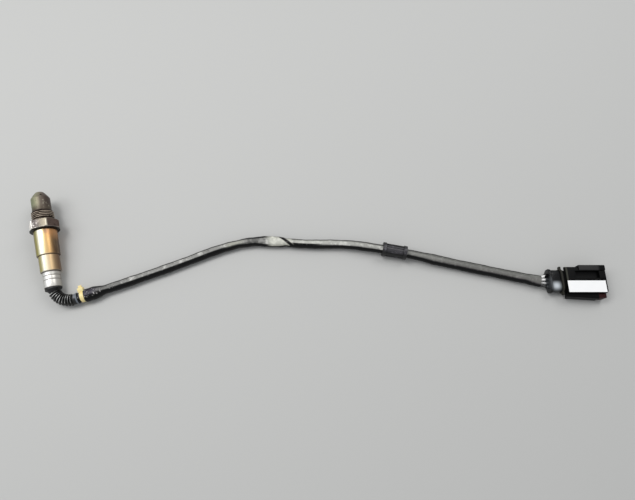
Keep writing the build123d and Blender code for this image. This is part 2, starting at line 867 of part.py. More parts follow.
pin_tip = mouth_floor + pin_reach
barrel_start = seal_floor + 1.0
barrel_end = barrel_start + barrel_length


def plug_pin(place):
    """A flat male pin with the barrel that is crimped on its wire."""
    with BuildPart() as piece:
        with BuildSketch(across_plug(barrel_start)):
            with Locations(place):
                Circle(barrel_radius)
        extrude(amount=barrel_length)
        with BuildSketch(across_plug(barrel_end)):
            with Locations(place):
                Rectangle(pin_width, pin_thickness)
        extrude(amount=pin_tip - pin_taper - barrel_end)
        with BuildSketch(across_plug(pin_tip - pin_taper)):
            with Locations(place):
                Rectangle(pin_width, pin_thickness)
        with BuildSketch(across_plug(pin_tip)):
            with Locations(place):
                Rectangle(pin_width / 2, pin_thickness / 2)
        loft()
    return piece


def wire_seal(place):
    """A round rubber seal on one wire."""
    with BuildPart() as piece:
        with BuildSketch(across_plug(spigot_rear)):
            with Locations(place):
                Circle(seal_bore - fit_gap)
                Circle(wire_radius + fit_gap, mode=Mode.SUBTRACT)
        extrude(amount=seal_length)
    return piece


for number, place in enumerate(terminal_places, start=1):
    write(plug_pin(place), f"plug_pin_{number}")
    write(wire_seal(place), f"wire_seal_{number}")

# ---- Wires --------------------------------------------------------------------------

# Each wire is modelled where it is out of the sheath: from its contact through the grommet and
# the boot into one end of the sheath, and from the other end to its plug pin.
wire_depth = sheath_socket - socket_gap
rear_line = [wire_start] + bend_knots + [sheath_start + tail * wire_depth]
last_run = (route[-1] - route[-2]).normalized()
front_line = [sheath_end - last_run * wire_depth, sheath_end]


def wire(sideways, upwards, place):
    """Both ends of one wire, set aside from the lead's middle line and spread to its terminal."""
    rear = beside(rear_line, sideways, upwards)
    rear[0] = wire_start + left_of(-axis_direction) * sideways + SEAT.y_dir * upwards
    front = beside(front_line, sideways, upwards)
    terminal = across_plug(0).from_local_coords((place[0], place[1], 0))
    front += [terminal - nose * wire_lead_in, terminal + nose * barrel_start]
    with BuildPart() as piece:
        round_bar(rear, wire_radius)
        round_bar(front, wire_radius)
    return piece


write(wire(wire_half_pitch, wire_half_pitch, terminal_places[0]), "heater_wire_a")
write(wire(wire_half_pitch, -wire_half_pitch, terminal_places[1]), "heater_wire_b")
write(wire(-wire_half_pitch, wire_half_pitch, terminal_places[2]), "ground_wire")
write(wire(-wire_half_pitch, -wire_half_pitch, terminal_places[3]), "signal_wire")
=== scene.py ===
import json
from math import atan2, cos, pi, radians, sin, tan

import bmesh
import bpy
from mathutils import Euler, Matrix, Vector


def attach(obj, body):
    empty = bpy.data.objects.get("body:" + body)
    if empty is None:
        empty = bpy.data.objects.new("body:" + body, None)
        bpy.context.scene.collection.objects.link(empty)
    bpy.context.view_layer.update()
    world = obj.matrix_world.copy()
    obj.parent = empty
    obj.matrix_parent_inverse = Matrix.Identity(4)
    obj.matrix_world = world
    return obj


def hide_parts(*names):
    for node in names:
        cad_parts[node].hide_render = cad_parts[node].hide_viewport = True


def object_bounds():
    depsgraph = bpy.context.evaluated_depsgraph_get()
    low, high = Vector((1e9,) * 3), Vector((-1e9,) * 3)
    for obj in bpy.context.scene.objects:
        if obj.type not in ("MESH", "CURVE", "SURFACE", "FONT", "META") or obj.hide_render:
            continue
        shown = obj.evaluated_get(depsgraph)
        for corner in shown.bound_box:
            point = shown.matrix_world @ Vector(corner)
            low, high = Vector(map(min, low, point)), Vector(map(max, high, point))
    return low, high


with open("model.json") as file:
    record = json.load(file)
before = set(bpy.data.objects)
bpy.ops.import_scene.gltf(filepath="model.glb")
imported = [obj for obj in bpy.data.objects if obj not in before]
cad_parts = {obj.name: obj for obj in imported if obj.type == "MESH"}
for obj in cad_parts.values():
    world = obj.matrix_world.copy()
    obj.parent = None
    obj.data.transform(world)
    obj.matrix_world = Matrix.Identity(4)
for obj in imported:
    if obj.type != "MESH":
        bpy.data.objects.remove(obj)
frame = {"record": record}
cad_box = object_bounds()
MM = 0.001

# ---- Where the sensor lies ----------------------------------------------------------
# The sensor lies on its washer face and the rear end of its sleeve, tip towards +Y.
# Its pieces are turned about one axis, with z = 0 at the seat and +z towards the tip.


def frame_at(place, x_axis, y_axis, z_axis):
    """The matrix that lays a piece's own axes along these directions at a place."""
    return Matrix.Translation(place) @ Matrix((x_axis, y_axis, z_axis)).transposed().to_4x4()


gasket_thickness = 1.6 * MM
seat_mount = next(mount for mount in frame["record"]["mounts"] if mount["name"] == "gasket_seat")
sensor_axis = Vector(seat_mount["axis"]).normalized()
seat_point = Vector(seat_mount["pos_m"]) - sensor_axis * gasket_thickness
sensor_across = Vector((-1, 0, 0))
sensor_up = sensor_axis.cross(sensor_across)
SEAT = frame_at(seat_point, sensor_across, sensor_up, sensor_axis)

# ---- Camera, light and floor --------------------------------------------------------
# A pale floor, one soft lamp up behind the lead and a weaker one at each end.
# The camera looks down on the lead from its middle, a little from the front.


def shown(name, data):
    """A new object in the scene that holds this data."""
    holder = bpy.data.objects.new(name, data)
    bpy.context.scene.collection.objects.link(holder)
    return holder


def soft_lamp(name, place, size, watts):
    """A square lamp that faces the middle of the object."""
    lamp_data = bpy.data.lights.new(name, "AREA")
    lamp_data.size = size
    lamp_data.energy = watts
    lamp = shown(name, lamp_data)
    lamp.location = place
    middle = (cad_box[0] + cad_box[1]) / 2
    lamp.rotation_euler = (middle - lamp.location).to_track_quat("-Z", "Y").to_euler()


camera_place = Vector((182.5, -200.1, 427.0)) * MM
camera_data = bpy.data.cameras.new("camera")
camera_data.sensor_width = 36
camera_data.lens = 28.35
camera = shown("camera", camera_data)
turned_round = Euler((0, 0, radians(-18.5))).to_matrix()
tipped_up = Euler((radians(18.5), 0, 0)).to_matrix()
rolled = Euler((0, 0, radians(3.85))).to_matrix()
camera.matrix_world = Matrix.Translation(camera_place) @ (turned_round @ tipped_up @ rolled).to_4x4()
bpy.context.scene.camera = camera

soft_lamp("main_lamp", Vector((-0.22, 0.36, 1.05)), 0.5, 5.6)
soft_lamp("left_lamp", Vector((-0.6, 0.15, 0.8)), 0.4, 1.8)
soft_lamp("right_lamp", Vector((0.8, 0.3, 0.8)), 0.5, 2.6)

sky_colour = (0.9, 0.92, 0.95, 1)
sky_strength = 0.5
world = bpy.data.worlds.new("studio")
world.use_nodes = True
world.node_tree.nodes["Background"].inputs["Color"].default_value = sky_colour
world.node_tree.nodes["Background"].inputs["Strength"].default_value = sky_strength
bpy.context.scene.world = world
bpy.context.scene.view_settings.view_transform = "Standard"

floor_reach = 3.0
floor_colour = (0.54, 0.54, 0.525, 1)
floor_mesh = bpy.data.meshes.new("floor")
floor_corners = [(x * floor_reach, y * floor_reach, 0) for x, y in ((-1, -1), (1, -1), (1, 1), (-1, 1))]
floor_mesh.from_pydata(floor_corners, [], [(0, 1, 2, 3)])
floor_paint = bpy.data.materials.new("floor_paint")
floor_paint.use_nodes = True
floor_shader = floor_paint.node_tree.nodes["Principled BSDF"]
floor_shader.inputs["Base Color"].default_value = floor_colour
floor_shader.inputs["Roughness"].default_value = 0.9
floor_mesh.materials.append(floor_paint)
shown("floor", floor_mesh)

# ---- Housing ------------------------------------------------------------------------
# A turned steel body: hexagon, relief, M18 x 1.5 thread and a spigot for the tip.
# The hexagon's left face is painted bright as a highlight, its right face dark brown as painted shade; the
# thread is dark with anti-seize paste.

turned_steps = 144


def skinned(name, rings, looped=False):
    """A closed mesh through rings of places; a ring of one place is a pole.

    Looped rings close on themselves; otherwise the first and last ring are capped.
    """
    shape = bmesh.new()
    rings = [[shape.verts.new(place) for place in ring] for ring in rings]
    pairs = list(zip(rings, rings[1:]))
    if looped:
        pairs.append((rings[-1], rings[0]))
    for near, far in pairs:
        count = max(len(near), len(far))
        for step in range(count if count > 1 else 0):
            after = (step + 1) % count
            corners = [(near, step), (far, step), (far, after), (near, after)]
            shape.faces.new(dict.fromkeys(ring[place % len(ring)] for ring, place in corners))
    if not looped:
        shape.faces.new(rings[0])
        shape.faces.new(rings[-1])
    bmesh.ops.recalc_face_normals(shape, faces=shape.faces)
    mesh = bpy.data.meshes.new(name)
    shape.to_mesh(mesh)
    shape.free()
    return mesh


def circle(radius, height, steps=turned_steps):
    """Places round the local z axis; the radius may be a function of the angle."""
    reach = radius if callable(radius) else lambda angle: radius
    angles = [2 * pi * step / steps for step in range(steps)]
    return [(reach(angle) * cos(angle), reach(angle) * sin(angle), height) for angle in angles]


def turned(name, outline):
    """A ring or cup turned from (radius, height) points; points on the axis close it."""
    rings = [[(0, 0, height)] if radius == 0 else circle(radius, height) for radius, height in outline]
    return skinned(name, rings, looped=True)


def placed(mesh, matrix, name, finish, node_name, sharp=35):
    """Put a finished mesh where it belongs, shade it smooth and let it stand for its CAD node."""
    mesh.transform(matrix)
    mesh.shade_smooth()
    mesh.set_sharp_from_angle(angle=radians(sharp))
    mesh.materials.clear()
    mesh.materials.append(finish.material)
    piece = shown(name, mesh)
    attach(piece, "root")
    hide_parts(node_name)
    return piece


class Flow:
    """An output of a node; flows are added, multiplied and so on like numbers."""

    def __init__(self, tree, socket):
        self.tree = tree
        self.socket = socket

    def maths(self, operation, *others):
        return node(self.tree, "ShaderNodeMath", enumerate((self, *others)), operation=operation)

    def __add__(self, other):
        return self.maths("ADD", other)

    def __sub__(self, other):
        return self.maths("SUBTRACT", other)

    def __rsub__(self, other):
        return node(self.tree, "ShaderNodeMath", {0: other, 1: self}, operation="SUBTRACT")

    def __mul__(self, other):
        return self.maths("MULTIPLY", other)

    def __truediv__(self, other):
        return self.maths("DIVIDE", other)

    def __abs__(self):
        return self.maths("ABSOLUTE")

    def most(self, other):
        return self.maths("MAXIMUM", other)

    def parts(self):
        """The x, y and z of this vector."""
        split = node(self.tree, "ShaderNodeSeparateXYZ", {0: self})
        return [Flow(self.tree, part) for part in split.socket.node.outputs]

    def span(self, low, high, to_low=0.0, to_high=1.0, run="SMOOTHSTEP"):
        """This value mapped from low..high to to_low..to_high, smoothly unless told otherwise."""
        values = {"Value": self, "From Min": low, "From Max": high, "To Min": to_low, "To Max": to_high}
        return node(self.tree, "ShaderNodeMapRange", values, interpolation_type=run)

    def between(self, low, high):
        """This 0..1 mask as a value from low to high."""
        return self.span(0, 1, low, high)

    def near(self, place, reach, soft):
        """A mask of the places where this value is within reach of a place."""
        return abs(self - place).span(reach + soft, reach)

    def mix(self, first, second):
        """A colour between two colours, with this value as the mask."""
        first, second = ((*colour, 1) if isinstance(colour, tuple) else colour for colour in (first, second))
        values = {"Factor": self, 6: first, 7: second}
        return node(self.tree, "ShaderNodeMix", values, 2, data_type="RGBA")

    def stops(self, *places):
        """A colour from a ramp over 0..1 with (place, colour) stops."""
        ramp = node(self.tree, "ShaderNodeValToRGB", {"Fac": self})
        elements = ramp.socket.node.color_ramp.elements
        while len(elements) < len(places):
            elements.new(0.5)
        for element, (place, colour) in zip(elements, places):
            element.position = place
            element.color = (*colour, 1)
        return ramp


def node(tree, kind, inputs=(), out=0, **settings):
    """Add a node with its settings and its inputs, by name or number, and give one output."""
    made = tree.nodes.new(kind)
    for label, value in settings.items():
        setattr(made, label, value)
    for label, value in dict(inputs).items():
        if isinstance(value, Flow):
            tree.links.new(value.socket, made.inputs[label])
        else:
            made.inputs[label].default_value = value
    return Flow(tree, made.outputs[out])


def node_tree(name, kind, inputs):
    """A node group with these inputs, each (kind, value) by name; gives it and its inputs as flows."""
    tree = bpy.data.node_groups.new(name, kind)
    for label, (socket_kind, value) in inputs.items():
        socket = tree.interface.new_socket(label, in_out="INPUT", socket_type="NodeSocket" + socket_kind)
        if value is not None:
            socket.default_value = value
    group_in = tree.nodes.new("NodeGroupInput")
    return tree, {socket.name: Flow(tree, socket) for socket in group_in.outputs}


def put_out(label, kind, result):
    """End a node group with one named output."""
    result.tree.interface.new_socket(label, in_out="OUTPUT", socket_type="NodeSocket" + kind)
    result.tree.links.new(result.socket, result.tree.nodes.new("NodeGroupOutput").inputs[label])


def effect(name, inputs, detail, roughness):
    """A shader group on a cloudy noise; gives the group, its inputs and the noise."""
    floats = {label: ("Float", value) for label, value in inputs.items()}
    tree, into = node_tree(name, "ShaderNodeTree", {"Vector": ("Vector", None), **floats})
    values = {"Vector": into["Vector"], "Scale": into["Scale"], "Detail": detail, "Roughness": roughness}
    return tree, into, node(tree, "ShaderNodeTexNoise", values, "Fac")


# Patches: a soft mask from cloudy noise, 0 outside a patch and 1 inside it.
patches_group, into, noise = effect("patches", {"Scale": 300.0, "Cover": 0.5, "Softness": 0.1}, 6, 0.62)
patch_start = 1 - into["Cover"]
put_out("Mask", "Float", noise.span(patch_start, patch_start + into["Softness"]))

# Tooth: the fine unevenness of a surface, given as a normal.
tooth_group, into, noise = effect("tooth", {"Scale": 1500.0, "Strength": 0.3, "Depth": 0.1 * MM}, 5, 0.6)
bump_inputs = {"Height": noise, "Strength": into["Strength"], "Distance": into["Depth"]}
put_out("Normal", "Vector", node(tooth_group, "ShaderNodeBump", bump_inputs))


class Finish:
    """A material being built, on its piece's Object coordinates."""

    def __init__(self, name, roughness, metallic=0.0, specular=0.5):
        self.slot = name
        self.material = bpy.data.materials.new(name)
        self.material.use_nodes = True
        self.tree = self.material.node_tree
        self.shader = self.tree.nodes["Principled BSDF"]
        values = {"Roughness": roughness, "Metallic": metallic, "Specular IOR Level": specular}
        for label, value in values.items():
            self.shader.inputs[label].default_value = value
        self.coords = node(self.tree, "ShaderNodeTexCoord", out="Object")

    def link(self, source, target):
        self.tree.links.new(source.socket, self.shader.inputs[target])

    def patches(self, scale, cover, softness, place=None):
        values = {"Vector": place or self.coords, "Scale": scale, "Cover": cover, "Softness": softness}
        return node(self.tree, "ShaderNodeGroup", values, node_tree=patches_group)

    def tooth(self, scale, strength, depth):
        values = {"Vector": self.coords, "Scale": scale, "Strength": strength, "Depth": depth}
        self.link(node(self.tree, "ShaderNodeGroup", values, node_tree=tooth_group), "Normal")

    def uneven(self, scale, low, high):
        """A roughness that wanders between two values."""
        self.link(self.patches(scale, 0.5, 0.3).between(low, high), "Roughness")

    def facing(self, direction, low, high):
        """A mask of the places whose surface faces a direction."""
        normal = node(self.tree, "ShaderNodeNewGeometry", out="Normal")
        values = {0: normal, 1: Vector(direction).normalized()}
        share = node(self.tree, "ShaderNodeVectorMath", values, "Value", operation="DOT_PRODUCT")
        return share.span(low, high)

    def axis_parts(self, place=seat_point, turn=SEAT.to_3x3().transposed().to_euler()):
        """Local x, y and z of the sensor, or of another placed piece, in metres."""
        shift = node(self.tree, "ShaderNodeVectorMath", {0: self.coords, 1: place}, operation="SUBTRACT")
        return node(self.tree, "ShaderNodeMapping", {"Vector": shift, "Rotation": turn}).parts()


def geometry_tree(name, inputs):
    """A geometry tree with named float inputs and a material."""
    floats = {label: ("Float", value) for label, value in inputs.items()}
    ends = {"Geometry": ("Geometry", None), **floats, "Material": ("Material", None)}
    return node_tree(name, "GeometryNodeTree", ends)


def ended(result, material):
    """End a geometry tree: its instances are made real and its material is set."""
    real = node(result.tree, "GeometryNodeRealizeInstances", {0: result})
    coated = node(result.tree, "GeometryNodeSetMaterial", {0: real, "Material": material})
    put_out("Geometry", "Geometry", coated)


def evaluated(source, *spent):
    """The mesh of an object after its modifiers; the object and its spent tools go."""
    depsgraph = bpy.context.evaluated_depsgraph_get()
    mesh = bpy.data.meshes.new_from_object(source.evaluated_get(depsgraph))
    source.modifiers.clear()
    for holder in (source, *spent):
        bpy.data.objects.remove(holder)
    return mesh


def shaped(name, data, tree, finish, values):
    """The mesh that a geometry tree makes of some data, with its named inputs set."""
    source = shown(name, data)
    modifier = source.modifiers.new(tree.name, "NODES")
    modifier.node_group = tree
    values = {**values, "Material": finish.material}
    for item in tree.interface.items_tree:
        if item.in_out == "INPUT" and item.name in values:
            modifier[item.identifier] = values[item.name]
    source.update_tag()
    return evaluated(source)


hex_flats = 22.0 * MM
hex_length = 7.4 * MM
hex_turn = radians(0.5)
hex_corner_circle = 24.2 * MM
washer_face_radius = 12.0 * MM
washer_face_length = 0.8 * MM
washer_edge = 0.1 * MM
hex_rear = hex_length + washer_face_length
thread_radius = 9.0 * MM
thread_pitch = 1.5 * MM
thread_depth = 0.8 * MM
thread_length = 10.1 * MM
relief_radius = 8.0 * MM
relief_length = 2.0 * MM
spigot_radius = 7.2 * MM
spigot_front = 12.9 * MM
collar_radius = 8.8 * MM
collar_rear = hex_rear + 5.0 * MM
bore_radius = 5.8 * MM
hex_corner_radius = hex_flats / 2 / cos(radians(30))
chamfer_drop = (hex_corner_radius - hex_corner_circle / 2) / 2
chamfer_slope = 0.58


def hexagon(height):
    """Radius of the chamfered hexagon at a height, as a function of the angle."""
    from_face = min(-height, height + hex_length)
    cone = hex_corner_circle / 2 - chamfer_drop + from_face / chamfer_slope

    def radius(angle):
        side = (angle - hex_turn) % radians(60) - radians(30)
        return min(hex_flats / 2 / cos(side), cone)

    return radius


chamfer_start = 0.02 * MM
chamfer_step = 0.12 * MM
chamfer_drops = [chamfer_start + chamfer_step * ring for ring in range(8)]
hex_heights = [-drop for drop in chamfer_drops] + [-hex_length / 2]
hex_heights += [-hex_length + drop for drop in reversed(chamfer_drops)]
thread_rings = 150
thread_front = thread_length - 0.3 * MM
thread_rear = relief_length + 0.2 * MM
thread_step = (thread_rear - thread_front) / thread_rings
thread_run_out = 1.1 * MM
thread_values = {"Pitch": thread_pitch, "Depth": thread_depth, "Start": thread_rear, "End": thread_front}
housing_outline = [
    (bore_radius, spigot_front),
    (spigot_radius, spigot_front),
    (spigot_radius, thread_length),
    (thread_radius - thread_depth, thread_length),
    *[(thread_radius, thread_front + thread_step * ring) for ring in range(thread_rings + 1)],
    (relief_radius, relief_length),
    (relief_radius, 0),
    *[(hexagon(height), height) for height in hex_heights],
    (washer_face_radius - washer_edge, -hex_length),
    (washer_face_radius, -hex_length - washer_edge),
    (washer_face_radius, -hex_rear + 1.5 * washer_edge),
    (washer_face_radius - 1.5 * washer_edge, -hex_rear),
    (collar_radius, -hex_rear),
    (collar_radius, -collar_rear),
    (bore_radius, -collar_rear),
]

# Thread: sinks the plain stretch between two heights into one right-hand helix.
# Its flanks are steeper than a full V of this pitch, which leaves a flat root and crest.
root_reach = 1.08
flank_slope = 1.2
thread_tree, into = geometry_tree("thread", thread_values)
x, y, z = node(thread_tree, "GeometryNodeInputPosition").parts()
phase = (z / into["Pitch"] - y.maths("ARCTAN2", x) / (2 * pi)).maths("FRACT")
groove = node(thread_tree, "ShaderNodeClamp", {"Value": root_reach - abs(phase * 2 - 1) * flank_slope})
inside = (z - into["Start"]).maths("MINIMUM", into["End"] - z)
run_out = inside.span(0.0, thread_run_out, 1.0, 0.0, "LINEAR")
drop = groove.most(run_out) * inside.maths("GREATER_THAN", -1e-6) * into["Depth"]
reach = (x * x + y * y).maths("SQRT")
share = (reach - drop) / reach
sunk = node(thread_tree, "ShaderNodeCombineXYZ", {0: x * share, 1: y * share, 2: z})
threaded = node(thread_tree, "GeometryNodeSetPosition", {0: into["Geometry"], "Position": sunk})
ended(threaded, into["Material"])

coat = Finish("hexagon_steel", 0.45, metallic=0.3, specular=0.25)
housing_blank = turned("housing_steel", housing_outline)
housing_mesh = shaped("housing_blank", housing_blank, thread_tree, coat, thread_values)
placed(housing_mesh, SEAT, "housing_steel", coat, "housing", sharp=28)
x, y, z = coat.axis_parts()
highlight_steel = (0.95, 0.90, 0.84)
dull_steel = (0.10, 0.083, 0.078)
shaded_burnt_steel = (0.05, 0.032, 0.026)
paste = (0.028, 0.017, 0.012)
left_edge = hex_corner_radius * cos(hex_turn + radians(60))
right_edge = -hex_corner_radius * cos(radians(60) - hex_turn)
on_left = x.span(left_edge - 1.0 * MM, left_edge - 0.5 * MM)
on_right = x.span(right_edge + 0.15 * MM, right_edge - 0.15 * MM)
pitted = coat.patches(420, 0.45, 0.08)
# The left face is painted near white as a highlight, pitted darker; the right face is painted dark brown as
# shade.
lit_left_face = pitted.mix(highlight_steel, (0.55, 0.51, 0.47))
middle_face = coat.patches(260, 0.5, 0.15).mix(dull_steel, (0.27, 0.235, 0.215))
middle_face = (x.span(2.5 * MM, right_edge + 1 * MM) * 0.7).mix(middle_face, (0.40, 0.35, 0.25))
middle_face = (coat.patches(560, 0.44, 0.05) * x.span(0, 3 * MM)).mix(middle_face, (0.88, 0.84, 0.78))
shaded_right_face = pitted.mix((0.10, 0.068, 0.055), shaded_burnt_steel)
shaded_right_face = coat.patches(1100, 0.36, 0.08).mix(shaded_right_face, (0.22, 0.16, 0.13))
steel = on_right.mix(on_left.mix(middle_face, lit_left_face), shaded_right_face)
# Painted shade along the crease between the left face and the middle face.
crease_shade = x.near(left_edge - 1.35 * MM, 0.15 * MM, 0.3 * MM)
steel = (crease_shade * 0.75).mix(steel, (0.07, 0.058, 0.052))
# A painted highlight along the crease between the middle face and the right face.
crease_highlight = x.near(right_edge, 0.25 * MM, 0.5 * MM)
steel = (crease_highlight * 0.8).mix(steel, (0.80, 0.73, 0.58))
rim_wear = abs(z).near(hex_length - 0.35 * MM, 0.1 * MM, 0.4 * MM)
steel = (rim_wear * 0.5).mix(steel, (0.46, 0.42, 0.36))
crest = (x * x + y * y).maths("SQRT").span(thread_radius - 0.35 * MM, thread_radius - 0.05 * MM)
crest_wear = crest * coat.patches(240, 0.66, 0.14) * z.span(0, 0.5 * MM)
pasted = crest_wear.mix(paste, (0.66, 0.55, 0.44))
ahead = z.span(-0.1 * MM, 0.1 * MM)
behind = z.span(-hex_length + 0.05 * MM, -hex_length - 0.1 * MM)
steel = ahead.most(behind).mix(steel, pasted)
# The washer face and the collar behind the hexagon are painted near black as shade.
coat.link(behind.mix(steel, (0.008, 0.006, 0.005)), "Base Color")
coat.uneven(900, 0.34, 0.6)
coat.tooth(1400, 0.6, 0.2 * MM)

# ---- Gasket -------------------------------------------------------------------------
# A rolled steel ring that is crushed against the exhaust when the sensor is screwed in.
# It stays on the relief between the hexagon and the thread.


def mottled(name, roughness, patch, first, second, tooth, **more):
    """A finish of one colour mottled with another."""
    finish = Finish(name, roughness, **more)
    finish.link(finish.patches(*patch).mix(first, second), "Base Color")
    finish.tooth(*tooth)
    return finish


gasket_outer_radius = 9.9 * MM
gasket_inner_radius = relief_radius + 0.05 * MM
gasket_round = 0.5 * MM
gasket_middle = gasket_outer_radius - gasket_round
gasket_lip_thickness = 0.9 * MM
gasket_seat_radius = thread_radius + 0.05 * MM
gasket_outline = [
    (gasket_seat_radius, gasket_thickness),
    (gasket_seat_radius, gasket_lip_thickness),
    (gasket_inner_radius, gasket_lip_thickness),
    (gasket_inner_radius, 0),
]
round_steps = 8
for step in range(round_steps + 1):
    lean = pi * (step / round_steps - 0.5)
    lift = gasket_thickness / 2 * (1 + sin(lean))
    gasket_outline.append((gasket_middle + gasket_round * cos(lean), lift))
coat = mottled(
    "gasket_steel",
    0.5,
    (480, 0.5, 0.2),
    (0.15, 0.12, 0.09),
    (0.05, 0.035, 0.028),
    (1800, 0.4, 0.1 * MM),
    metallic=0.6,
)
placed(turned("gasket_ring", gasket_outline), SEAT, "gasket_ring", coat, "gasket")

# ---- Protection tubes ---------------------------------------------------------------
# Two pressed stainless cups round the sensing element, with holes that let the gas in.
# The outer cup is drawn in at its end; both are tinted a matte olive by the exhaust, with painted highlight
# and shade across them.

tube_radius = 7.75 * MM
tube_wall = 0.5 * MM
tube_shoulder_place = thread_length + 12.1 * MM
shoulder_radius = 5.2 * MM
shoulder_front = tube_shoulder_place + 3.7 * MM
dome_radius = 3.0 * MM
tip_length = shoulder_front + 2.4 * MM
inner_tube_radius = 4.5 * MM
inner_tube_wall = 0.4 * MM
inner_foot = 7.4 * MM
inner_crown = inner_foot + 17.5 * MM
punch_steps = 24
punch_depth = 3 * MM
shoulder_holes = {
    "Count": 6,
    "Ring radius": (tube_radius + shoulder_radius) / 2 - 0.2 * MM,
    "Hole radius": 0.9 * MM,
    "Height": (tube_shoulder_place + shoulder_front) / 2,
    "Lean": atan2(shoulder_front - tube_shoulder_place, tube_radius - shoulder_radius),
}
side_holes = {
    "Count": 4,
    "Ring radius": inner_tube_radius,
    "Hole radius": 0.8 * MM,
    "Height": inner_foot + 8 * MM,
    "Lean": pi / 2,
}


def ring_of(into, piece):
    """Instances of a piece on a ring of points, each turned outward."""
    tree = piece.tree
    count = node(tree, "FunctionNodeFloatToInt", {0: into["Count"]})
    points = node(tree, "GeometryNodeMeshCircle", {"Vertices": count, "Radius": into["Ring radius"]})
    turn = node(tree, "GeometryNodeInputIndex") * (2 * pi) / into["Count"]
    values = {"Points": points, "Instance": piece, "Rotation": node(tree, "ShaderNodeCombineXYZ", {2: turn})}
    return node(tree, "GeometryNodeInstanceOnPoints", values)


# Punches: a ring of short cylinders that lean out by an angle, for cutting gas holes.
punches_tree, into = geometry_tree("punches", shoulder_holes)
punch_size = {"Vertices": punch_steps, "Depth": punch_depth, "Radius": into["Hole radius"]}
punch = node(punches_tree, "GeometryNodeMeshCylinder", punch_size)
lean = node(punches_tree, "ShaderNodeCombineXYZ", {1: into["Lean"]})
ring = ring_of(into, node(punches_tree, "GeometryNodeTransform", {"Geometry": punch, "Rotation": lean}))
lift = node(punches_tree, "ShaderNodeCombineXYZ", {2: into["Height"]})
lifted = node(punches_tree, "GeometryNodeTransform", {"Geometry": ring, "Translation": lift})
ended(lifted, into["Material"])


def combined(mesh, steps):
    """The mesh after adding and cutting tool meshes in turn."""
    base = shown("base", mesh)
    tools = [shown("tool", tool_mesh) for _, tool_mesh in steps]
    for (operation, _), tool in zip(steps, tools):
        step = base.modifiers.new(operation, "BOOLEAN")
        step.operation = operation
        step.solver = "EXACT"
        step.object = tool
    return evaluated(base, *tools)


def cup(name, outside, wall, holes, finish):
    """A turned cup with a ring of holes, and one hole of the same size in its crown."""
    foot_radius, crown = outside[0][0], outside[-1][1]
    sinks = [wall if radius < foot_radius else 0 for radius, _ in outside]
    inside = [(max(radius - wall, 0), height - sink) for (radius, height), sink in zip(outside, sinks)]
    mesh = turned(name, outside + [(0, crown), (0, crown - wall)] + inside[::-1])
    ring_punch = shaped("punch_ring", bpy.data.meshes.new("punch_ring"), punches_tree, finish, holes)
    ends = [circle(holes["Hole radius"], crown + punch_depth * side, punch_steps) for side in (-0.5, 0.5)]
    return combined(mesh, [("DIFFERENCE", ring_punch), ("DIFFERENCE", skinned("end_punch", ends))])


coat = Finish("tube_steel", 0.5, metallic=0.35, specular=0.3)
outer_outside = [
    (tube_radius, thread_length),
    (tube_radius, tube_shoulder_place - 0.6 * MM),
    (tube_radius - 0.08 * MM, tube_shoulder_place),
    (tube_radius - 0.35 * MM, tube_shoulder_place + 0.5 * MM),
    (shoulder_radius + 0.25 * MM, shoulder_front - 0.35 * MM),
    (shoulder_radius - 0.1 * MM, shoulder_front),
    (shoulder_radius - 0.55 * MM, shoulder_front + 0.75 * MM),
    (dome_radius + 0.55 * MM, tip_length - 0.35 * MM),
    (dome_radius, tip_length - 0.08 * MM),
    (dome_radius - 0.5 * MM, tip_length),
]
outer_mesh = cup("outer_cup", outer_outside, tube_wall, shoulder_holes, coat)
placed(outer_mesh, SEAT, "outer_cup", coat, "outer_protection_tube", sharp=40)
inner_outside = [
    (inner_tube_radius, inner_foot),
    (inner_tube_radius, inner_crown - inner_tube_radius / 2),
    (inner_tube_radius / 2, inner_crown),
]
inner_mesh = cup("inner_cup", inner_outside, inner_tube_wall, side_holes, coat)
placed(inner_mesh, SEAT, "inner_cup", coat, "inner_protection_tube", sharp=40)

x, y, z = coat.axis_parts()
# Across the cups the olive is painted lighter left of the middle as a highlight and dark towards the right
# edge as shade.
olive = x.span(7.5 * MM, -7.5 * MM).stops(
    (0, (0.20, 0.22, 0.13)),
    (0.3, (0.27, 0.27, 0.17)),
    (0.6, (0.24, 0.215, 0.15)),
    (0.8, (0.15, 0.12, 0.095)),
    (1, (0.07, 0.05, 0.04)),
)
olive = z.span(17 * MM, 9.5 * MM).mix(olive, (0.09, 0.07, 0.05))
olive = coat.patches(260, 0.42, 0.12).mix(olive, (0.36, 0.34, 0.25))
coat.link(coat.patches(420, 0.38, 0.08).mix(olive, (0.09, 0.08, 0.055)), "Base Color")
coat.uneven(700, 0.45, 0.7)
coat.tooth(2600, 0.25, 0.08 * MM)

# ---- Ceramic stack, element, contacts and their holder ------------------------------
# Pressed and fired ceramic pieces, a zirconia strip and nickel alloy spring contacts.
# They are assembled before the sleeve is drawn over them, and keep their plain shapes.


def dress(finish, *nodes):
    """Give carried-over solids their finish."""
    for name in nodes:
        solid = bpy.data.objects[name]
        solid.data.materials.clear()
        solid.data.materials.append(finish.material)


fired_ceramic = mottled(
    "fired_ceramic", 0.62, (900, 0.4, 0.3), (0.90, 0.88, 0.83), (0.84, 0.81, 0.74), (3500, 0.2, 0.05 * MM)
)
dress(fired_ceramic, "lower_insulator", "upper_insulator", "contact_holder_upper", "contact_holder_lower")
pressed_talc = mottled(
    "pressed_talc", 0.85, (1600, 0.5, 0.2), (0.70, 0.69, 0.66), (0.60, 0.58, 0.55), (3000, 0.5, 0.1 * MM)
)
dress(pressed_talc, "seal_pack")
zirconia = mottled(
    "zirconia", 0.4, (700, 0.4, 0.2), (0.88, 0.87, 0.82), (0.70, 0.68, 0.62), (4000, 0.1, 0.03 * MM)
)
dress(zirconia, "sensing_element")
contact_alloy = mottled(
    "contact_alloy",
    0.32,
    (800, 0.45, 0.25),
    (0.72, 0.68, 0.60),
    (0.60, 0.52, 0.40),
    (2500, 0.1, 0.03 * MM),
    metallic=1.0,
)
dress(contact_alloy, "clamp_ring", "contact_1", "contact_2", "contact_3", "contact_4")
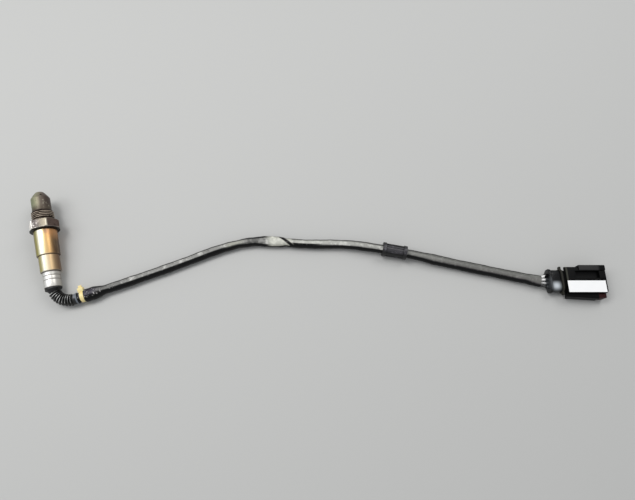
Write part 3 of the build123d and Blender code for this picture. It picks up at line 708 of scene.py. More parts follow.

# ---- Protective sleeve --------------------------------------------------------------
# Stainless sheet drawn in three steps, welded to the housing and crimped on the grommet.
# Heat has tinted it from copper near the hexagon through straw to bare silver at the end; a highlight and
# dark edge reflections are painted across it.

sleeve_radius = [9.4 * MM, 8.3 * MM, 7.0 * MM]
sleeve_length = [22.7 * MM, 14.6 * MM, 14.2 * MM]
sleeve_wall = 0.55 * MM
crimp_places = [3.5 * MM, 7.1 * MM]
crimp_width = 0.9 * MM
crimp_depth = 0.3 * MM
step_1 = -hex_rear - sleeve_length[0]
step_2 = step_1 - sleeve_length[1]
sleeve_rear = -(hex_rear + sum(sleeve_length))
step_run = 0.5 * MM
step_round = 0.22 * MM


def eased(outline, reach):
    """The outline with each corner between two points cut by a small three-point round."""
    soft = [outline[0]]
    for before, here, after in zip(outline, outline[1:], outline[2:]):
        run_in = Vector(here) - Vector(before)
        run_out = Vector(after) - Vector(here)
        cut = min(reach, run_in.length * 0.45, run_out.length * 0.45)
        start = Vector(here) - run_in.normalized() * cut
        end = Vector(here) + run_out.normalized() * cut
        middle = (start + end) / 4 + Vector(here) / 2
        soft += [tuple(start), tuple(middle), tuple(end)]
    return soft + [outline[-1]]


sleeve_outline = [
    (sleeve_radius[0], -hex_rear),
    (sleeve_radius[0], step_1),
    (sleeve_radius[1], step_1 - step_run),
    (sleeve_radius[1], step_2),
    (sleeve_radius[2], step_2 - step_run),
]
for crimp_place in crimp_places:
    top = step_2 - crimp_place
    sleeve_outline += [
        (sleeve_radius[2], top),
        (sleeve_radius[2] - crimp_depth, top - crimp_width / 2),
        (sleeve_radius[2], top - crimp_width),
    ]
sleeve_outline += [
    (sleeve_radius[2], sleeve_rear),
    (sleeve_radius[2] - sleeve_wall, sleeve_rear),
    (sleeve_radius[2] - sleeve_wall, step_2 - step_run),
    (sleeve_radius[1] - sleeve_wall, step_2),
    (sleeve_radius[1] - sleeve_wall, step_1 - step_run),
    (sleeve_radius[0] - sleeve_wall, step_1),
    (sleeve_radius[0] - sleeve_wall, -hex_rear),
]
coat = Finish("sleeve_steel", 0.38, metallic=0.5)
sleeve_mesh = turned("sleeve_steel", eased(sleeve_outline, step_round))
placed(sleeve_mesh, SEAT, "sleeve_steel", coat, "protective_sleeve", sharp=50)

x, y, z = coat.axis_parts()
# Across the sleeve each tint ramp holds a painted highlight left of the middle and painted dark reflections
# at both edges.
across = x.span(9.0 * MM, -9.0 * MM)
near_hexagon = across.stops(
    (0.0, (0.17, 0.15, 0.06)),
    (0.12, (0.40, 0.36, 0.10)),
    (0.3, (1.0, 0.97, 0.80)),
    (0.5, (1.0, 0.90, 0.64)),
    (0.66, (0.90, 0.66, 0.32)),
    (0.86, (0.88, 0.52, 0.20)),
    (1.0, (0.08, 0.045, 0.025)),
)
mid_sleeve = across.stops(
    (0.0, (0.22, 0.19, 0.08)),
    (0.17, (0.48, 0.43, 0.17)),
    (0.36, (1.0, 0.97, 0.82)),
    (0.56, (1.0, 0.90, 0.66)),
    (0.82, (1.0, 0.70, 0.38)),
    (1.0, (0.14, 0.08, 0.045)),
)
bare_end = across.stops(
    (0.0, (0.28, 0.28, 0.24)),
    (0.3, (0.97, 0.96, 0.93)),
    (0.7, (0.90, 0.87, 0.80)),
    (1.0, (0.36, 0.34, 0.30)),
)
streaks = coat.patches(700, 0.5, 0.2, node(coat.tree, "ShaderNodeCombineXYZ", {0: x, 1: y, 2: z * 0.05}))
copper = streaks.mix((0.55, 0.27, 0.10), (0.26, 0.11, 0.055))
rusty = x.span(-2.5 * MM, -6 * MM) * z.span(-hex_rear - 13 * MM, -hex_rear - 3 * MM)
tint = (rusty * 0.85).mix(near_hexagon, copper)
# Painted shade on the sleeve's left side next to the washer.
washer_shade = x.span(3.5 * MM, 8 * MM) * z.span(-hex_rear - 9 * MM, -hex_rear)
tint = (washer_shade * 0.8).mix(tint, (0.20, 0.17, 0.12))
violet = x.near(-3.6 * MM, 0.8 * MM, 1.8 * MM) * z.near(-hex_rear - 2.4 * MM, 1.0 * MM, 2.6 * MM)
tint = (violet * 0.45).mix(tint, (0.26, 0.13, 0.13))
tint = z.span(step_1 + 1.0 * MM, step_1 - 0.5 * MM).mix(tint, mid_sleeve)
tint = (streaks * 0.3).mix(tint, (0.70, 0.50, 0.25))
tint = z.span(step_2 + 0.4 * MM, step_2 - 0.5 * MM).mix(tint, bare_end)
# Thin lines painted dark as shade: in the two steps, at the joint under the washer, at the rear edge and in
# the crimp grooves.
shade_lines = z.near(step_1 - 0.55 * MM, 0.18 * MM, 0.35 * MM)
shade_lines = shade_lines.most(z.near(step_2 - 0.6 * MM, 0.22 * MM, 0.4 * MM))
shade_lines = shade_lines.most(z.near(-hex_rear - 0.3 * MM, 0.3 * MM, 0.5 * MM))
shade_lines = shade_lines.most(z.near(sleeve_rear, 0.15 * MM, 0.25 * MM))
for crimp_place in crimp_places:
    in_crimp = z.near(step_2 - crimp_place - crimp_width / 2, 0.12 * MM, 0.3 * MM)
    shade_lines = shade_lines.most(in_crimp * 0.75)
coat.link((shade_lines * 0.9).mix(tint, (0.05, 0.028, 0.016)), "Base Color")
coat.uneven(500, 0.32, 0.46)
coat.tooth(900, 0.05, 0.05 * MM)

# ---- Grommet ------------------------------------------------------------------------
# A fluoro rubber plug with four wire holes that seals the sleeve's rear end.
# It is moulded, and the two crimps in the sleeve hold it in place.

grommet_rubber = mottled(
    "grommet_rubber",
    0.6,
    (1200, 0.4, 0.3),
    (0.035, 0.035, 0.035),
    (0.07, 0.065, 0.06),
    (3000, 0.3, 0.05 * MM),
)
dress(grommet_rubber, "wire_grommet")

# ---- Lead: route and sheath ---------------------------------------------------------
# A black rubber tube pulled over four insulated wires, laid loosely to the plug.
# It flares at the boot, bulges past the tie, kinks once and is flattened at its mouth.

sleeve_end = seat_point + sensor_axis * sleeve_rear
sheath_points = [
    (0.0175, -0.0138, 0.0053),
    (0.0302, -0.0126, 0.0052),
    (0.0523, -0.0107, 0.0044),
    (0.0803, -0.0077, 0.0040),
    (0.1115, -0.0042, 0.0040),
    (0.1430, 0.0005, 0.0040),
    (0.1712, 0.0007, 0.0040),
    (0.1947, -0.0056, 0.0040),
    (0.2190, -0.0148, 0.0040),
    (0.2527, -0.0229, 0.0044),
    (0.2797, -0.0349, 0.0063),
    (0.3074, -0.0479, 0.0063),
    (0.3383, -0.0638, 0.0043),
    (0.3703, -0.0798, 0.0040),
    (0.3948, -0.0922, 0.0043),
    (0.4097, -0.0998, 0.0054),
]
route = [Vector((x, sleeve_end.y + y, z)) for x, y, z in sheath_points]


def path_curve(points, kind, steps=1):
    """A curve of one NURBS or POLY spline with these control points."""
    curve = bpy.data.curves.new("path", "CURVE")
    curve.dimensions = "3D"
    curve.resolution_u = steps
    spline = curve.splines.new(kind)
    spline.points.add(len(points) - 1)
    for spot, point in zip(spline.points, points):
        spot.co = (*point, 1)
    if kind == "NURBS":
        spline.order_u = 3
        spline.use_endpoint_u = True
    return curve


def spline_line(points, steps):
    """Points read from the NURBS spline of these control points."""
    holder = bpy.data.objects.new("path", path_curve(points, "NURBS", steps))
    line = bpy.data.meshes.new_from_object(holder)
    found = [vertex.co.copy() for vertex in line.vertices]
    bpy.data.objects.remove(holder)
    bpy.data.meshes.remove(line)
    return found


def length_of(line):
    return sum((after - before).length for before, after in zip(line, line[1:]))


def tube_along(name, line, section, around=40):
    """A closed tube along a line; section(distance) gives its half width and half height."""
    rings = []
    distance = 0.0
    for index, spot in enumerate(line):
        before = line[max(index - 1, 0)]
        after = line[min(index + 1, len(line) - 1)]
        if index:
            distance += (spot - before).length
        forward = (after - before).normalized()
        sideways = Vector((0, 0, 1)).cross(forward).normalized()
        upwards = forward.cross(sideways)
        wide, high = section(distance)
        turns = circle(1, 0, around)
        rings.append([spot + sideways * (wide * left) + upwards * (high * up) for left, up, _ in turns])
    return skinned(name, rings)


def ease(value, low, high):
    """Smooth step from 0 at low to 1 at high."""
    share = min(max((value - low) / (high - low), 0), 1)
    return share * share * (3 - 2 * share)


def hump(value, middle, reach):
    """Smooth rise from 0 at reach away to 1 at the middle."""
    return ease(1 - abs(value - middle) / reach, 0, 1)


sheath_line = spline_line(route, 40)
sheath_length = length_of(sheath_line)
print("sheath length on the spline", round(sheath_length / MM, 1))


def nearest_distance(spot):
    """Distance along the sheath to its point nearest to a spot on the floor plan."""
    gaps = [(point.to_2d() - Vector(spot)).length for point in sheath_line]
    return length_of(sheath_line[: gaps.index(min(gaps)) + 1])


sheath_radius = 3.9 * MM
bulge_radius = 5.5 * MM
bulge_start = 7.6 * MM
bulge_end = 14.0 * MM
bulge_fall = 11 * MM
flare_radius = 4.75 * MM
flare_length = 1.3 * MM
mouth_width = 5.25 * MM
mouth_height = 2.8 * MM
mouth_run = 16 * MM
kink_start = nearest_distance((0.160, -0.045))
kink_middle = nearest_distance((0.188, -0.048))
kink_reach = 18 * MM
kink_pinch = 0.45 * MM
kink_swell = 1.1 * MM
kink_sink = 0.7 * MM
fold_place = nearest_distance((0.202, -0.052))
fold_pinch = 0.5 * MM
fold_sink = 0.3 * MM
loose_swell = 0.15 * MM
clip_end = 0.300
past_clip_swell = 0.6 * MM
# The waver of the soft wall: waves of (millimetres, radians a metre, start).
slack_waves = ((0.10, 180, 0), (0.07, 417, 1), (0.04, 950, 0))


def sheath_section(distance):
    """Half width and half height of the sheath at a distance from the boot."""
    bulge = ease(distance, bulge_start - 2 * MM, bulge_start)
    bulge *= 1 - ease(distance, bulge_end, bulge_end + bulge_fall)
    flare = 1 - ease(distance, flare_length, flare_length + 0.7 * MM)
    flat = ease(distance, sheath_length - mouth_run, sheath_length)
    kink = hump(distance, kink_middle, kink_reach)
    slack = sum(height * sin(distance * rate + start) for height, rate, start in slack_waves) * MM
    wide = sheath_radius + loose_swell + slack
    wide += (bulge_radius - sheath_radius) * bulge
    wide += past_clip_swell * ease(distance, clip_end, clip_end + 20 * MM) * (1 - flat)
    wide += (flare_radius - sheath_radius) * flare + (mouth_width - sheath_radius) * flat
    wide += kink_swell * kink - kink_pinch * hump(distance, kink_start, kink_reach / 2)
    wide -= fold_pinch * hump(distance, fold_place, 3.5 * MM)
    high = sheath_radius + slack * 0.5
    high += (bulge_radius - sheath_radius) * bulge * 0.7
    high += (flare_radius - sheath_radius) * flare + (mouth_height - sheath_radius) * flat
    high -= kink_sink * kink + fold_sink * hump(distance, fold_place, 2.5 * MM)
    return wide, high


coat = Finish("sheath_rubber", 0.42, specular=0.22)
sheath_mesh = tube_along("sheath_rubber", sheath_line, sheath_section)
sheath = placed(sheath_mesh, Matrix(), "sheath_rubber", coat, "sheath", sharp=60)
x, y, z = coat.coords.parts()
soot = (0.002, 0.002, 0.002)
# The colour of the upper side: dust with a painted sheen, in patches, darker towards the plug and bluish at
# the boot.
dust_and_sheen = coat.patches(260, 0.5, 0.3).mix((0.60, 0.595, 0.56), (0.20, 0.195, 0.185))
dust_and_sheen = (x.span(0.288, 0.296) * 0.7).mix(dust_and_sheen, (0.12, 0.118, 0.11))
end_dust_and_sheen = coat.patches(330, 0.5, 0.15).mix((0.065, 0.057, 0.061), (0.022, 0.019, 0.021))
dust_and_sheen = x.span(0.302, 0.350).mix(dust_and_sheen, end_dust_and_sheen)
dust_and_sheen = x.span(0.040, 0.030).mix(dust_and_sheen, (0.16, 0.14, 0.20))
# Dust and a painted sheen lie on the upper side, higher up before the bend than after it, and thinly at the
# boot.
dust_and_sheen_mask = coat.facing((-0.08, 0.17, 0.98), 0.87, 0.96) * x.span(0.19, 0.14)
dust_and_sheen_mask += coat.facing((0.02, -0.08, 0.99), 0.86, 0.95) * x.span(0.14, 0.19)
dust_and_sheen_mask *= coat.facing((0.0, -0.20, 0.98), 0.86, 0.95).most(x.span(0.297, 0.287))
dust_and_sheen_mask *= coat.patches(190, 0.55, 0.25).between(0.45, 1.0)
dust_and_sheen_mask *= x.span(0.045, 0.070, 0.55, 1.0)
dust_and_sheen_mask *= x.near(0.1765, 6.0 * MM, 3.0 * MM).between(1.0, 0.5)
# Past the fold the painted sheen and dust keep off the lower side, which stays dark.
past_fold = x.span(0.203, 0.207) * x.span(0.242, 0.222)
lower_dark = past_fold * coat.facing((0.0, 0.34, 0.94), 0.80, 0.93).between(1.0, 0.0)
lower_shade = lower_dark.between(1.0, 0.0)
rubber = (dust_and_sheen_mask * lower_shade).mix(soot, dust_and_sheen)
# The flattened kink carries a painted reflection in pale patches.
pale_cloud = coat.patches(230, 0.55, 0.3).between(0.6, 1.0)
kink_reflection = x.span(0.184, 0.190) * x.span(0.2085, 0.2055) * coat.facing((0.0, -0.05, 0.99), 0.45, 0.75)
rubber = (kink_reflection * pale_cloud).mix(rubber, (0.72, 0.72, 0.63))
# A painted sheen on the upper side past the fold.
sheen_past_fold = x.span(0.204, 0.212) * x.span(0.290, 0.215, 0.35, 1.0) * coat.facing((0.0, 0.16, 0.98), 0.82, 0.94)
rubber = (sheen_past_fold * pale_cloud * lower_shade * 0.9).mix(rubber, (0.66, 0.66, 0.60))
# A painted highlight on the upper side just before the kink.
before_kink_highlight = x.span(0.147, 0.154) * x.span(0.168, 0.160) * coat.facing((0.0, 0.1, 0.98), 0.86, 0.98)
rubber = (before_kink_highlight * 0.7).mix(rubber, (0.40, 0.40, 0.34))
# The fold crosses the kink as a dark line of painted shade.
fold_x, fold_y = 0.2026, -0.052
fold_slant = 0.75
fold_shade = (x + (y - fold_y) * fold_slant).near(fold_x, 1.1 * MM, 1.0 * MM)
rubber = fold_shade.mix(rubber, soot)
# Painted glints in spots on the upper side of the bulge by the boot.
bulge_glints = coat.patches(560, 0.42, 0.06) * coat.facing((0, 0.1, 0.99), 0.7, 0.95)
rubber = (bulge_glints * x.span(0.060, 0.030, 0.12, 1.0)).mix(rubber, (0.55, 0.53, 0.52))
tail = (route[1] - route[0]).normalized()
tail_turn = tail.to_track_quat("X", "Z").inverted().to_euler()
# A pale bluish band round the sheath's first millimetre.
pale_first_band = coat.axis_parts(route[0], tail_turn)[0].near(0.2 * MM, 0.9 * MM, 0.3 * MM)
coat.link(pale_first_band.mix(rubber, (0.15, 0.165, 0.19)), "Base Color")
coat.uneven(300, 0.34, 0.58)
coat.tooth(700, 0.4, 0.2 * MM)

# ---- Boot ---------------------------------------------------------------------------
# A moulded rubber elbow: a rim on the sleeve's end, a smooth neck, nine ribs and a tail.
# It is pushed over the wires, and its tail meets the sheath, which the tie grips.

boot_bend_radius = 14.0 * MM
tail_heading = atan2(tail.y, tail.x)
bend_turn = pi / 2 + tail_heading
corner_y = route[0].y - route[0].x * tan(tail_heading)
corner_offset = boot_bend_radius * (tan(bend_turn / 2) - tan(bend_turn / 4))
bend_in_y = corner_y + corner_offset
bend_in = Vector((0, bend_in_y, seat_point.z + (bend_in_y - seat_point.y) * sensor_axis.z / sensor_axis.y))
tail_level = Vector((tail.x, tail.y, 0)).normalized()
tail_left = (route[0] - Vector((0, corner_y, 0))).dot(tail_level) - corner_offset
bend_out = route[0] - tail * (tail_left / tail.dot(tail_level))
boot_line = spline_line([sleeve_end, bend_in, bend_out, route[0] + tail * 0.4 * MM], 60)
boot_values = {
    "Rim radius": 6.8 * MM,
    "Rim length": 1.6 * MM,
    "Neck radius": 5.7 * MM,
    "Neck length": 2.6 * MM,
    "Root radius": 3.75 * MM,
    "Rib radius": 5.15 * MM,
    "Rib pitch": 2.05 * MM,
    "Rib count": 9,
    "Tail radius": 4.5 * MM,
}

# Bellows: sweeps a round section along a line, with a rim, a neck, ribs in step and a tail.
rib_fullness = 0.62
flare_run = 0.5 * MM
boot_steps = 420
bellows_tree, into = geometry_tree("bellows", boot_values)
along = node(bellows_tree, "GeometryNodeSplineParameter", out="Length")
ribs_from = into["Rim length"] + into["Neck length"]
ribs_to = ribs_from + into["Rib pitch"] * into["Rib count"]
wave = ((along - ribs_from) / into["Rib pitch"] * (2 * pi)).maths("COSINE")
on_ribs = along.maths("GREATER_THAN", ribs_from) * along.maths("LESS_THAN", ribs_to)
swell = (0.5 - wave * 0.5).maths("POWER", rib_fullness) * on_ribs
ribbed = into["Root radius"] + swell * (into["Rib radius"] - into["Root radius"])
neck = along.span(into["Rim length"], ribs_from, into["Neck radius"], into["Root radius"], "LINEAR")
rim = along.maths("LESS_THAN", into["Rim length"]) * into["Rim radius"]
flare = along.span(ribs_to, ribs_to + flare_run, into["Root radius"], into["Tail radius"], "LINEAR")
even = node(bellows_tree, "GeometryNodeResampleCurve", {0: into["Geometry"], "Count": boot_steps})
rib_height = {0: even, "Name": "rib", "Value": swell}
kept = node(bellows_tree, "GeometryNodeStoreNamedAttribute", rib_height, data_type="FLOAT", domain="POINT")
profile = node(bellows_tree, "GeometryNodeCurvePrimitiveCircle", {"Resolution": 72, "Radius": 1.0})
outline = {"Curve": kept, "Profile Curve": profile, "Scale": ribbed.most(neck).most(rim.most(flare))}
ended(node(bellows_tree, "GeometryNodeCurveToMesh", {**outline, "Fill Caps": True}), into["Material"])

coat = Finish("boot_rubber", 0.3, specular=0.6)
boot_mesh = shaped("boot_blank", path_curve(boot_line, "POLY"), bellows_tree, coat, boot_values)
boot = placed(boot_mesh, Matrix(), "boot_rubber", coat, "boot", sharp=50)
rib_top = node(coat.tree, "ShaderNodeAttribute", out="Fac", attribute_name="rib")
boot_dust = coat.patches(500, 0.40, 0.2)
skin = boot_dust.mix((0.002, 0.002, 0.002), (0.005, 0.005, 0.0045))
# Rib tops carry dust and a painted glint on the lit upper side.
rib_dust_and_glint = rib_top.span(0.5, 0.92) * coat.patches(260, 0.55, 0.15).between(0.2, 1.0)
skin = (rib_dust_and_glint * coat.facing((-0.1, 0.05, 0.99), 0.55, 0.9)).mix(skin, (0.66, 0.66, 0.64))
# A painted bluish sheen on the upper side of the boot's tail lip.
tail_lip_sheen = coat.axis_parts(route[0], tail_turn)[0].span(-1.9 * MM, -1.2 * MM)
tail_lip_sheen = tail_lip_sheen * boot_dust.between(1.0, 0.35) * coat.facing((-0.15, 0.5, 0.85), 0.7, 0.96)
coat.link(tail_lip_sheen.mix(skin, (0.16, 0.17, 0.185)), "Base Color")
coat.link(rib_top.span(0.2, 0.9, 0.55, 0.2), "Roughness")
coat.tooth(1500, 0.12, 0.06 * MM)

# ---- Tie ----------------------------------------------------------------------------
# A natural nylon tie, moulded in one piece and drawn tight round the sheath.
# It sits just past the boot's tail; the cut end of its strap stands out of the head.

tie_place = 5.3 * MM
tie_width = 3.4 * MM
tie_thickness = 0.8 * MM
tie_inner = sheath_radius + 0.05 * MM
tie_head = (4.6 * MM, 5.0 * MM, 3.8 * MM)
tie_head_lean = radians(18)
tie_tail = (2.8 * MM, 1.3 * MM, 2.2 * MM)


def left_of(direction):
    """The level direction to the left of another one."""
    return Vector((-direction.y, direction.x, 0)).normalized()


def eased_block(matrix, size, ease_by):
    """The mesh of a box with eased edges, standing on a matrix's origin."""
    shape = bmesh.new()
    half = [side / 2 for side in size]
    stood = matrix @ Matrix.Translation((0, 0, half[2])) @ Matrix.Diagonal((*half, 1))
    bmesh.ops.create_cube(shape, size=2, matrix=stood)
    bmesh.ops.bevel(shape, geom=shape.edges[:], offset=ease_by, segments=2, affect="EDGES", profile=0.5)
    mesh = bpy.data.meshes.new("block")
    shape.to_mesh(mesh)
    shape.free()
    return mesh


def merged(name, meshes):
    """One mesh that holds several."""
    shape = bmesh.new()
    for mesh in meshes:
        shape.from_mesh(mesh)
        bpy.data.meshes.remove(mesh)
    whole = bpy.data.meshes.new(name)
    shape.to_mesh(whole)
    shape.free()
    return whole


tie_middle = route[0] + tail * tie_place
tie_left = left_of(tail)
tie_up = tail.cross(tie_left)
head_out = tie_left * cos(tie_head_lean) + tie_up * sin(tie_head_lean)
HEAD = frame_at(tie_middle, tail, -tail.cross(head_out), head_out)
band_outline = [
    (tie_inner, -tie_width / 2),
    (tie_inner + tie_thickness, -tie_width / 2),
    (tie_inner + tie_thickness, tie_width / 2),
    (tie_inner, tie_width / 2),
]
band_mesh = turned("band", eased(band_outline, 0.25 * MM))
band_mesh.transform(frame_at(tie_middle, tie_left, tie_up, tail))
head_base = tie_inner + 0.2 * MM
head_mesh = eased_block(HEAD @ Matrix.Translation((0, 0, head_base)), tie_head, 0.45 * MM)
tail_base = head_base + tie_head[2] - 0.1 * MM
tail_mesh = eased_block(HEAD @ Matrix.Translation((0, 0, tail_base)), tie_tail, 0.15 * MM)
coat = mottled(
    "tie_nylon", 0.42, (500, 0.38, 0.2), (0.90, 0.75, 0.36), (0.52, 0.36, 0.15), (1800, 0.12, 0.05 * MM)
)
coat.shader.inputs["Subsurface Weight"].default_value = 0.15
coat.shader.inputs["Subsurface Radius"].default_value = (0.002, 0.0015, 0.001)
tie_mesh = merged("tie_nylon", [band_mesh, head_mesh, tail_mesh])
tie = placed(tie_mesh, Matrix(), "tie_nylon", coat, "cable_tie", sharp=40)

# ---- Clip ---------------------------------------------------------------------------
# A rubber collar moulded with two flanges, and grip ribs between them.
# It is pushed over the sheath, and snaps into a bracket under the car.

clip_length = 21.6 * MM
clip_back = 11.4 * MM
clip_radius = 5.4 * MM
clip_bore = sheath_radius + 0.2 * MM
flange_radius = 6.3 * MM
flange_rise = 0.8 * MM
flange_length = 3.2 * MM
flange_bead = 0.35 * MM
clip_run = (route[11] - route[10]).normalized()
clip_left = left_of(clip_run)
clip_start = (route[10] + route[11]) / 2 - clip_run * clip_back
CLIP = frame_at(clip_start, clip_left, clip_run.cross(clip_left), clip_run)
grip_values = {
    "Count": 10,
    "Ring radius": clip_radius,
    "Rib length": clip_length - 2 * flange_length,
    "Rib width": 1.3 * MM,
    "Rib height": 0.45 * MM,
}

# Grips: a ring of long ribs round a collar.
grips_tree, into = geometry_tree("grips", grip_values)
rib_size = {0: into["Rib height"] * 2, 1: into["Rib width"], 2: into["Rib length"]}
rib = node(grips_tree, "GeometryNodeMeshCube", {"Size": node(grips_tree, "ShaderNodeCombineXYZ", rib_size)})
ended(ring_of(into, rib), into["Material"])


def flange(start):
    """Outline of a flange with rounded corners, which stands higher on the upper side."""
    corner = [(1, 0), (0.3, 0.3), (0, 1)]
    rear = [(inset, start + flange_bead * place) for inset, place in corner]
    front = [(inset, start + flange_length - flange_bead * place) for inset, place in corner[::-1]]

    def reach(inset):
        return lambda angle: flange_radius + flange_rise * max(sin(angle), 0) ** 2 - flange_bead * inset

    return [(reach(inset), place) for inset, place in rear + front]


front_flange = clip_length - flange_length
clip_outline = [
    (clip_bore, 0),
    *flange(0),
    (clip_radius, flange_length),
    (clip_radius, front_flange),
    *flange(front_flange),
    (clip_bore, clip_length),
]
coat = Finish("clip_rubber", 0.36)
grip_mesh = shaped("grips", bpy.data.meshes.new("grips"), grips_tree, coat, grip_values)
grip_mesh.transform(Matrix.Translation((0, 0, clip_length / 2)))
clip_mesh = merged("clip_rubber", [turned("collar", clip_outline), grip_mesh])
clip = placed(clip_mesh, CLIP, "clip_rubber", coat, "cable_clip", sharp=40)
# Dust with a painted violet-grey sheen on the clip's upper side.
clip_dust_and_sheen = coat.facing((0.1, -0.1, 0.98), 0.70, 0.95) * coat.patches(240, 0.5, 0.2).between(0.25, 1.0)
coat.link(clip_dust_and_sheen.mix((0.003, 0.003, 0.003), (0.125, 0.118, 0.135)), "Base Color")
coat.tooth(1500, 0.3, 0.08 * MM)

# ---- Plug ---------------------------------------------------------------------------
# A moulded four-way plug: rear cap with wire seals, body with latch channel and mouth,
# flat pins, a red side lock and a blank label stuck on the body's top.
# Local x runs to the nose, y to the plug's left, z up from the floor.

plug_heading = radians(-14.5)
plug_gap = 6.5 * MM
terminal_height = 5.6 * MM
terminal_pitch = 3.5 * MM
terminal_shifts = [terminal_pitch * place for place in (1.5, 0.5, -0.5, -1.5)]
nose = Vector((cos(plug_heading), sin(plug_heading), 0))
plug_left = left_of(nose)
plug_origin = Vector((route[-1].x, route[-1].y, 0)) + nose * plug_gap
PLUG = frame_at(plug_origin, nose, plug_left, Vector((0, 0, 1)))


def rounded(width, height, corner, middle=(0, 0), per_corner=6):
    """Points round a rectangle with round corners, as (y, z)."""
    points = []
    for turn, (side, up) in enumerate(((1, 1), (-1, 1), (-1, -1), (1, -1))):
        for step in range(per_corner + 1):
            angle = pi / 2 * (turn + step / per_corner)
            left = middle[0] + side * (width / 2 - corner) + corner * cos(angle)
            top = middle[1] + up * (height / 2 - corner) + corner * sin(angle)
            points.append((left, top))
    return points


def bar(*sections):
    """A closed bar through (place, outline) sections with equally many points."""
    return skinned("bar", [[(place, y, z) for y, z in outline] for place, outline in sections])


def straight(start, end, outline):
    """A closed bar of one outline."""
    return bar((start, outline), (end, outline))


def moulded(start, end, size, middle, edge=0.3 * MM):
    """A bar of width, height and corner radius, with eased ends."""
    width, height, corner = size

    def at(inset):
        return rounded(width - 2 * inset, height - 2 * inset, max(corner - inset, 0.1 * MM), middle)

    eased_edge = [(edge, 0), (edge * 0.3, edge * 0.3), (0, edge)]
    rear = [(start + place, at(inset)) for inset, place in eased_edge]
    front = [(end - place, at(inset)) for inset, place in eased_edge[::-1]]
    return bar(*rear, *front)


def rods(start, end, radius, around=24):
    """Four round rods on the terminals' axes."""
    outline = [(left, up) for left, up, _ in circle(radius, 0, around)]
    return merged(
        "rods",
        [
            straight(start, end, [(shift + left, terminal_height + up) for left, up in outline])
            for shift in terminal_shifts
        ],
    )


cap_length = 9.9 * MM
cap_rim_length = 1.8 * MM
cap_rim = (21.4 * MM, 10.4 * MM, 4.16 * MM)
cap_shell = (20.2 * MM, 9.4 * MM, 4.512 * MM)
cap_hole_radius = 1.5 * MM
collar_length = 2.4 * MM
collar_reach = 1.7 * MM
cap_middle = (0, terminal_height)
overlap = 0.5 * MM
past = 1 * MM
cap_mesh = combined(
    moulded(0, cap_rim_length, cap_rim, cap_middle),
    [
        ("UNION", moulded(cap_rim_length / 2, cap_length, cap_shell, cap_middle, 0.2 * MM)),
        ("UNION", rods(-collar_length, overlap, collar_reach)),
        ("DIFFERENCE", rods(-collar_length - past, cap_length - past, cap_hole_radius)),
    ],
)
coat = Finish("cap_plastic", 0.26, specular=0.25)
rear_cap = placed(cap_mesh, PLUG, "rear_cap_moulding", coat, "rear_cap")
plug_turn = Euler((0, 0, -plug_heading))
x, y, z = coat.axis_parts(plug_origin, plug_turn)
plastic = coat.patches(350, 0.40, 0.2).mix((0.003, 0.003, 0.0035), (0.010, 0.010, 0.011))
# A painted bluish highlight on the cap's right side.
cap_highlight = x.near(5.0 * MM, 0.3 * MM, 5.4 * MM) * y.near(-5.0 * MM, 0.3 * MM, 5.0 * MM)
plastic = cap_highlight.mix(plastic, (0.58, 0.62, 0.65))
# A painted sheen across the cap's rim, fading at its ends.
rim_sheen = x.span(1.9 * MM, 1.4 * MM, 0, 0.7) * y.near(-2.0 * MM, 2.0 * MM, 5.0 * MM)
coat.link(rim_sheen.mix(plastic, (0.07, 0.075, 0.08)), "Base Color")
coat.tooth(3000, 0.15, 0.04 * MM)

flange_place = cap_length + 0.1 * MM
flange_thickness = 1.4 * MM
flange_size = (21.0 * MM, 11.0 * MM, 4.4 * MM)
flange_middle = (0, terminal_height + 0.4 * MM)
ears = (25.4 * MM, 3.8 * MM, 1.2 * MM)
ears_middle = (0, 7.4 * MM)
neck_place = flange_place + flange_thickness
neck_length = 1.9 * MM
neck_size = (19.4 * MM, 10.4 * MM, 4.6 * MM)
body_place = neck_place + neck_length
body_width = 23.4 * MM
body_height = 13.0 * MM
body_corner = 2.6 * MM
body_front = body_place + 34.8 * MM
body_middle = (0, body_height / 2)
rail_place = body_place + 11.8 * MM
rail_size = (5.2 * MM, body_height + 0.9 * MM, 1.2 * MM)
rail_middle = (body_width / 2 + 1.2 * MM - rail_size[0] / 2, rail_size[1] / 2)
skirt_proud = 1.5 * MM
skirt_height = 9.6 * MM
skirt_widening = 2.3 * MM
channel_place = body_place + 8.3 * MM
channel_width = 6.4 * MM
channel_depth = 2.8 * MM
channel_left = 4.4 * MM
bridge_place = body_place + 29.2 * MM
bridge_length = 5.6 * MM
bridge = (channel_width + 1.5 * MM, 1.4 * MM, 0.2 * MM)
bridge_middle = (channel_left, body_height - bridge[1] / 2)
mouth_size = (19.6 * MM, 6.8 * MM, 1.6 * MM)
mouth_depth = 20.5 * MM
lock_length = 6.6 * MM
lock_place = body_front - lock_length - 0.6 * MM
lock_height = 9.2 * MM
lock_proud = 3.8 * MM
lock_gap = 0.05 * MM
lock_lift = 0.3 * MM


def skirt_section(widening):
    """Outline of the skirt on the plug's right, wider by some amount."""
    middle = (-(body_width + skirt_proud + widening) / 2, skirt_height / 2)
    return rounded(skirt_proud + body_corner + widening, skirt_height, 1.0 * MM, middle, 4)


def slope_section(left_top, right_top):
    """Outline of the cut under the body's rear end, up to a slanting line."""
    wide = 20 * MM
    low = -12 * MM
    return [(-wide, low), (wide, low), (wide, left_top), (-wide, right_top)]


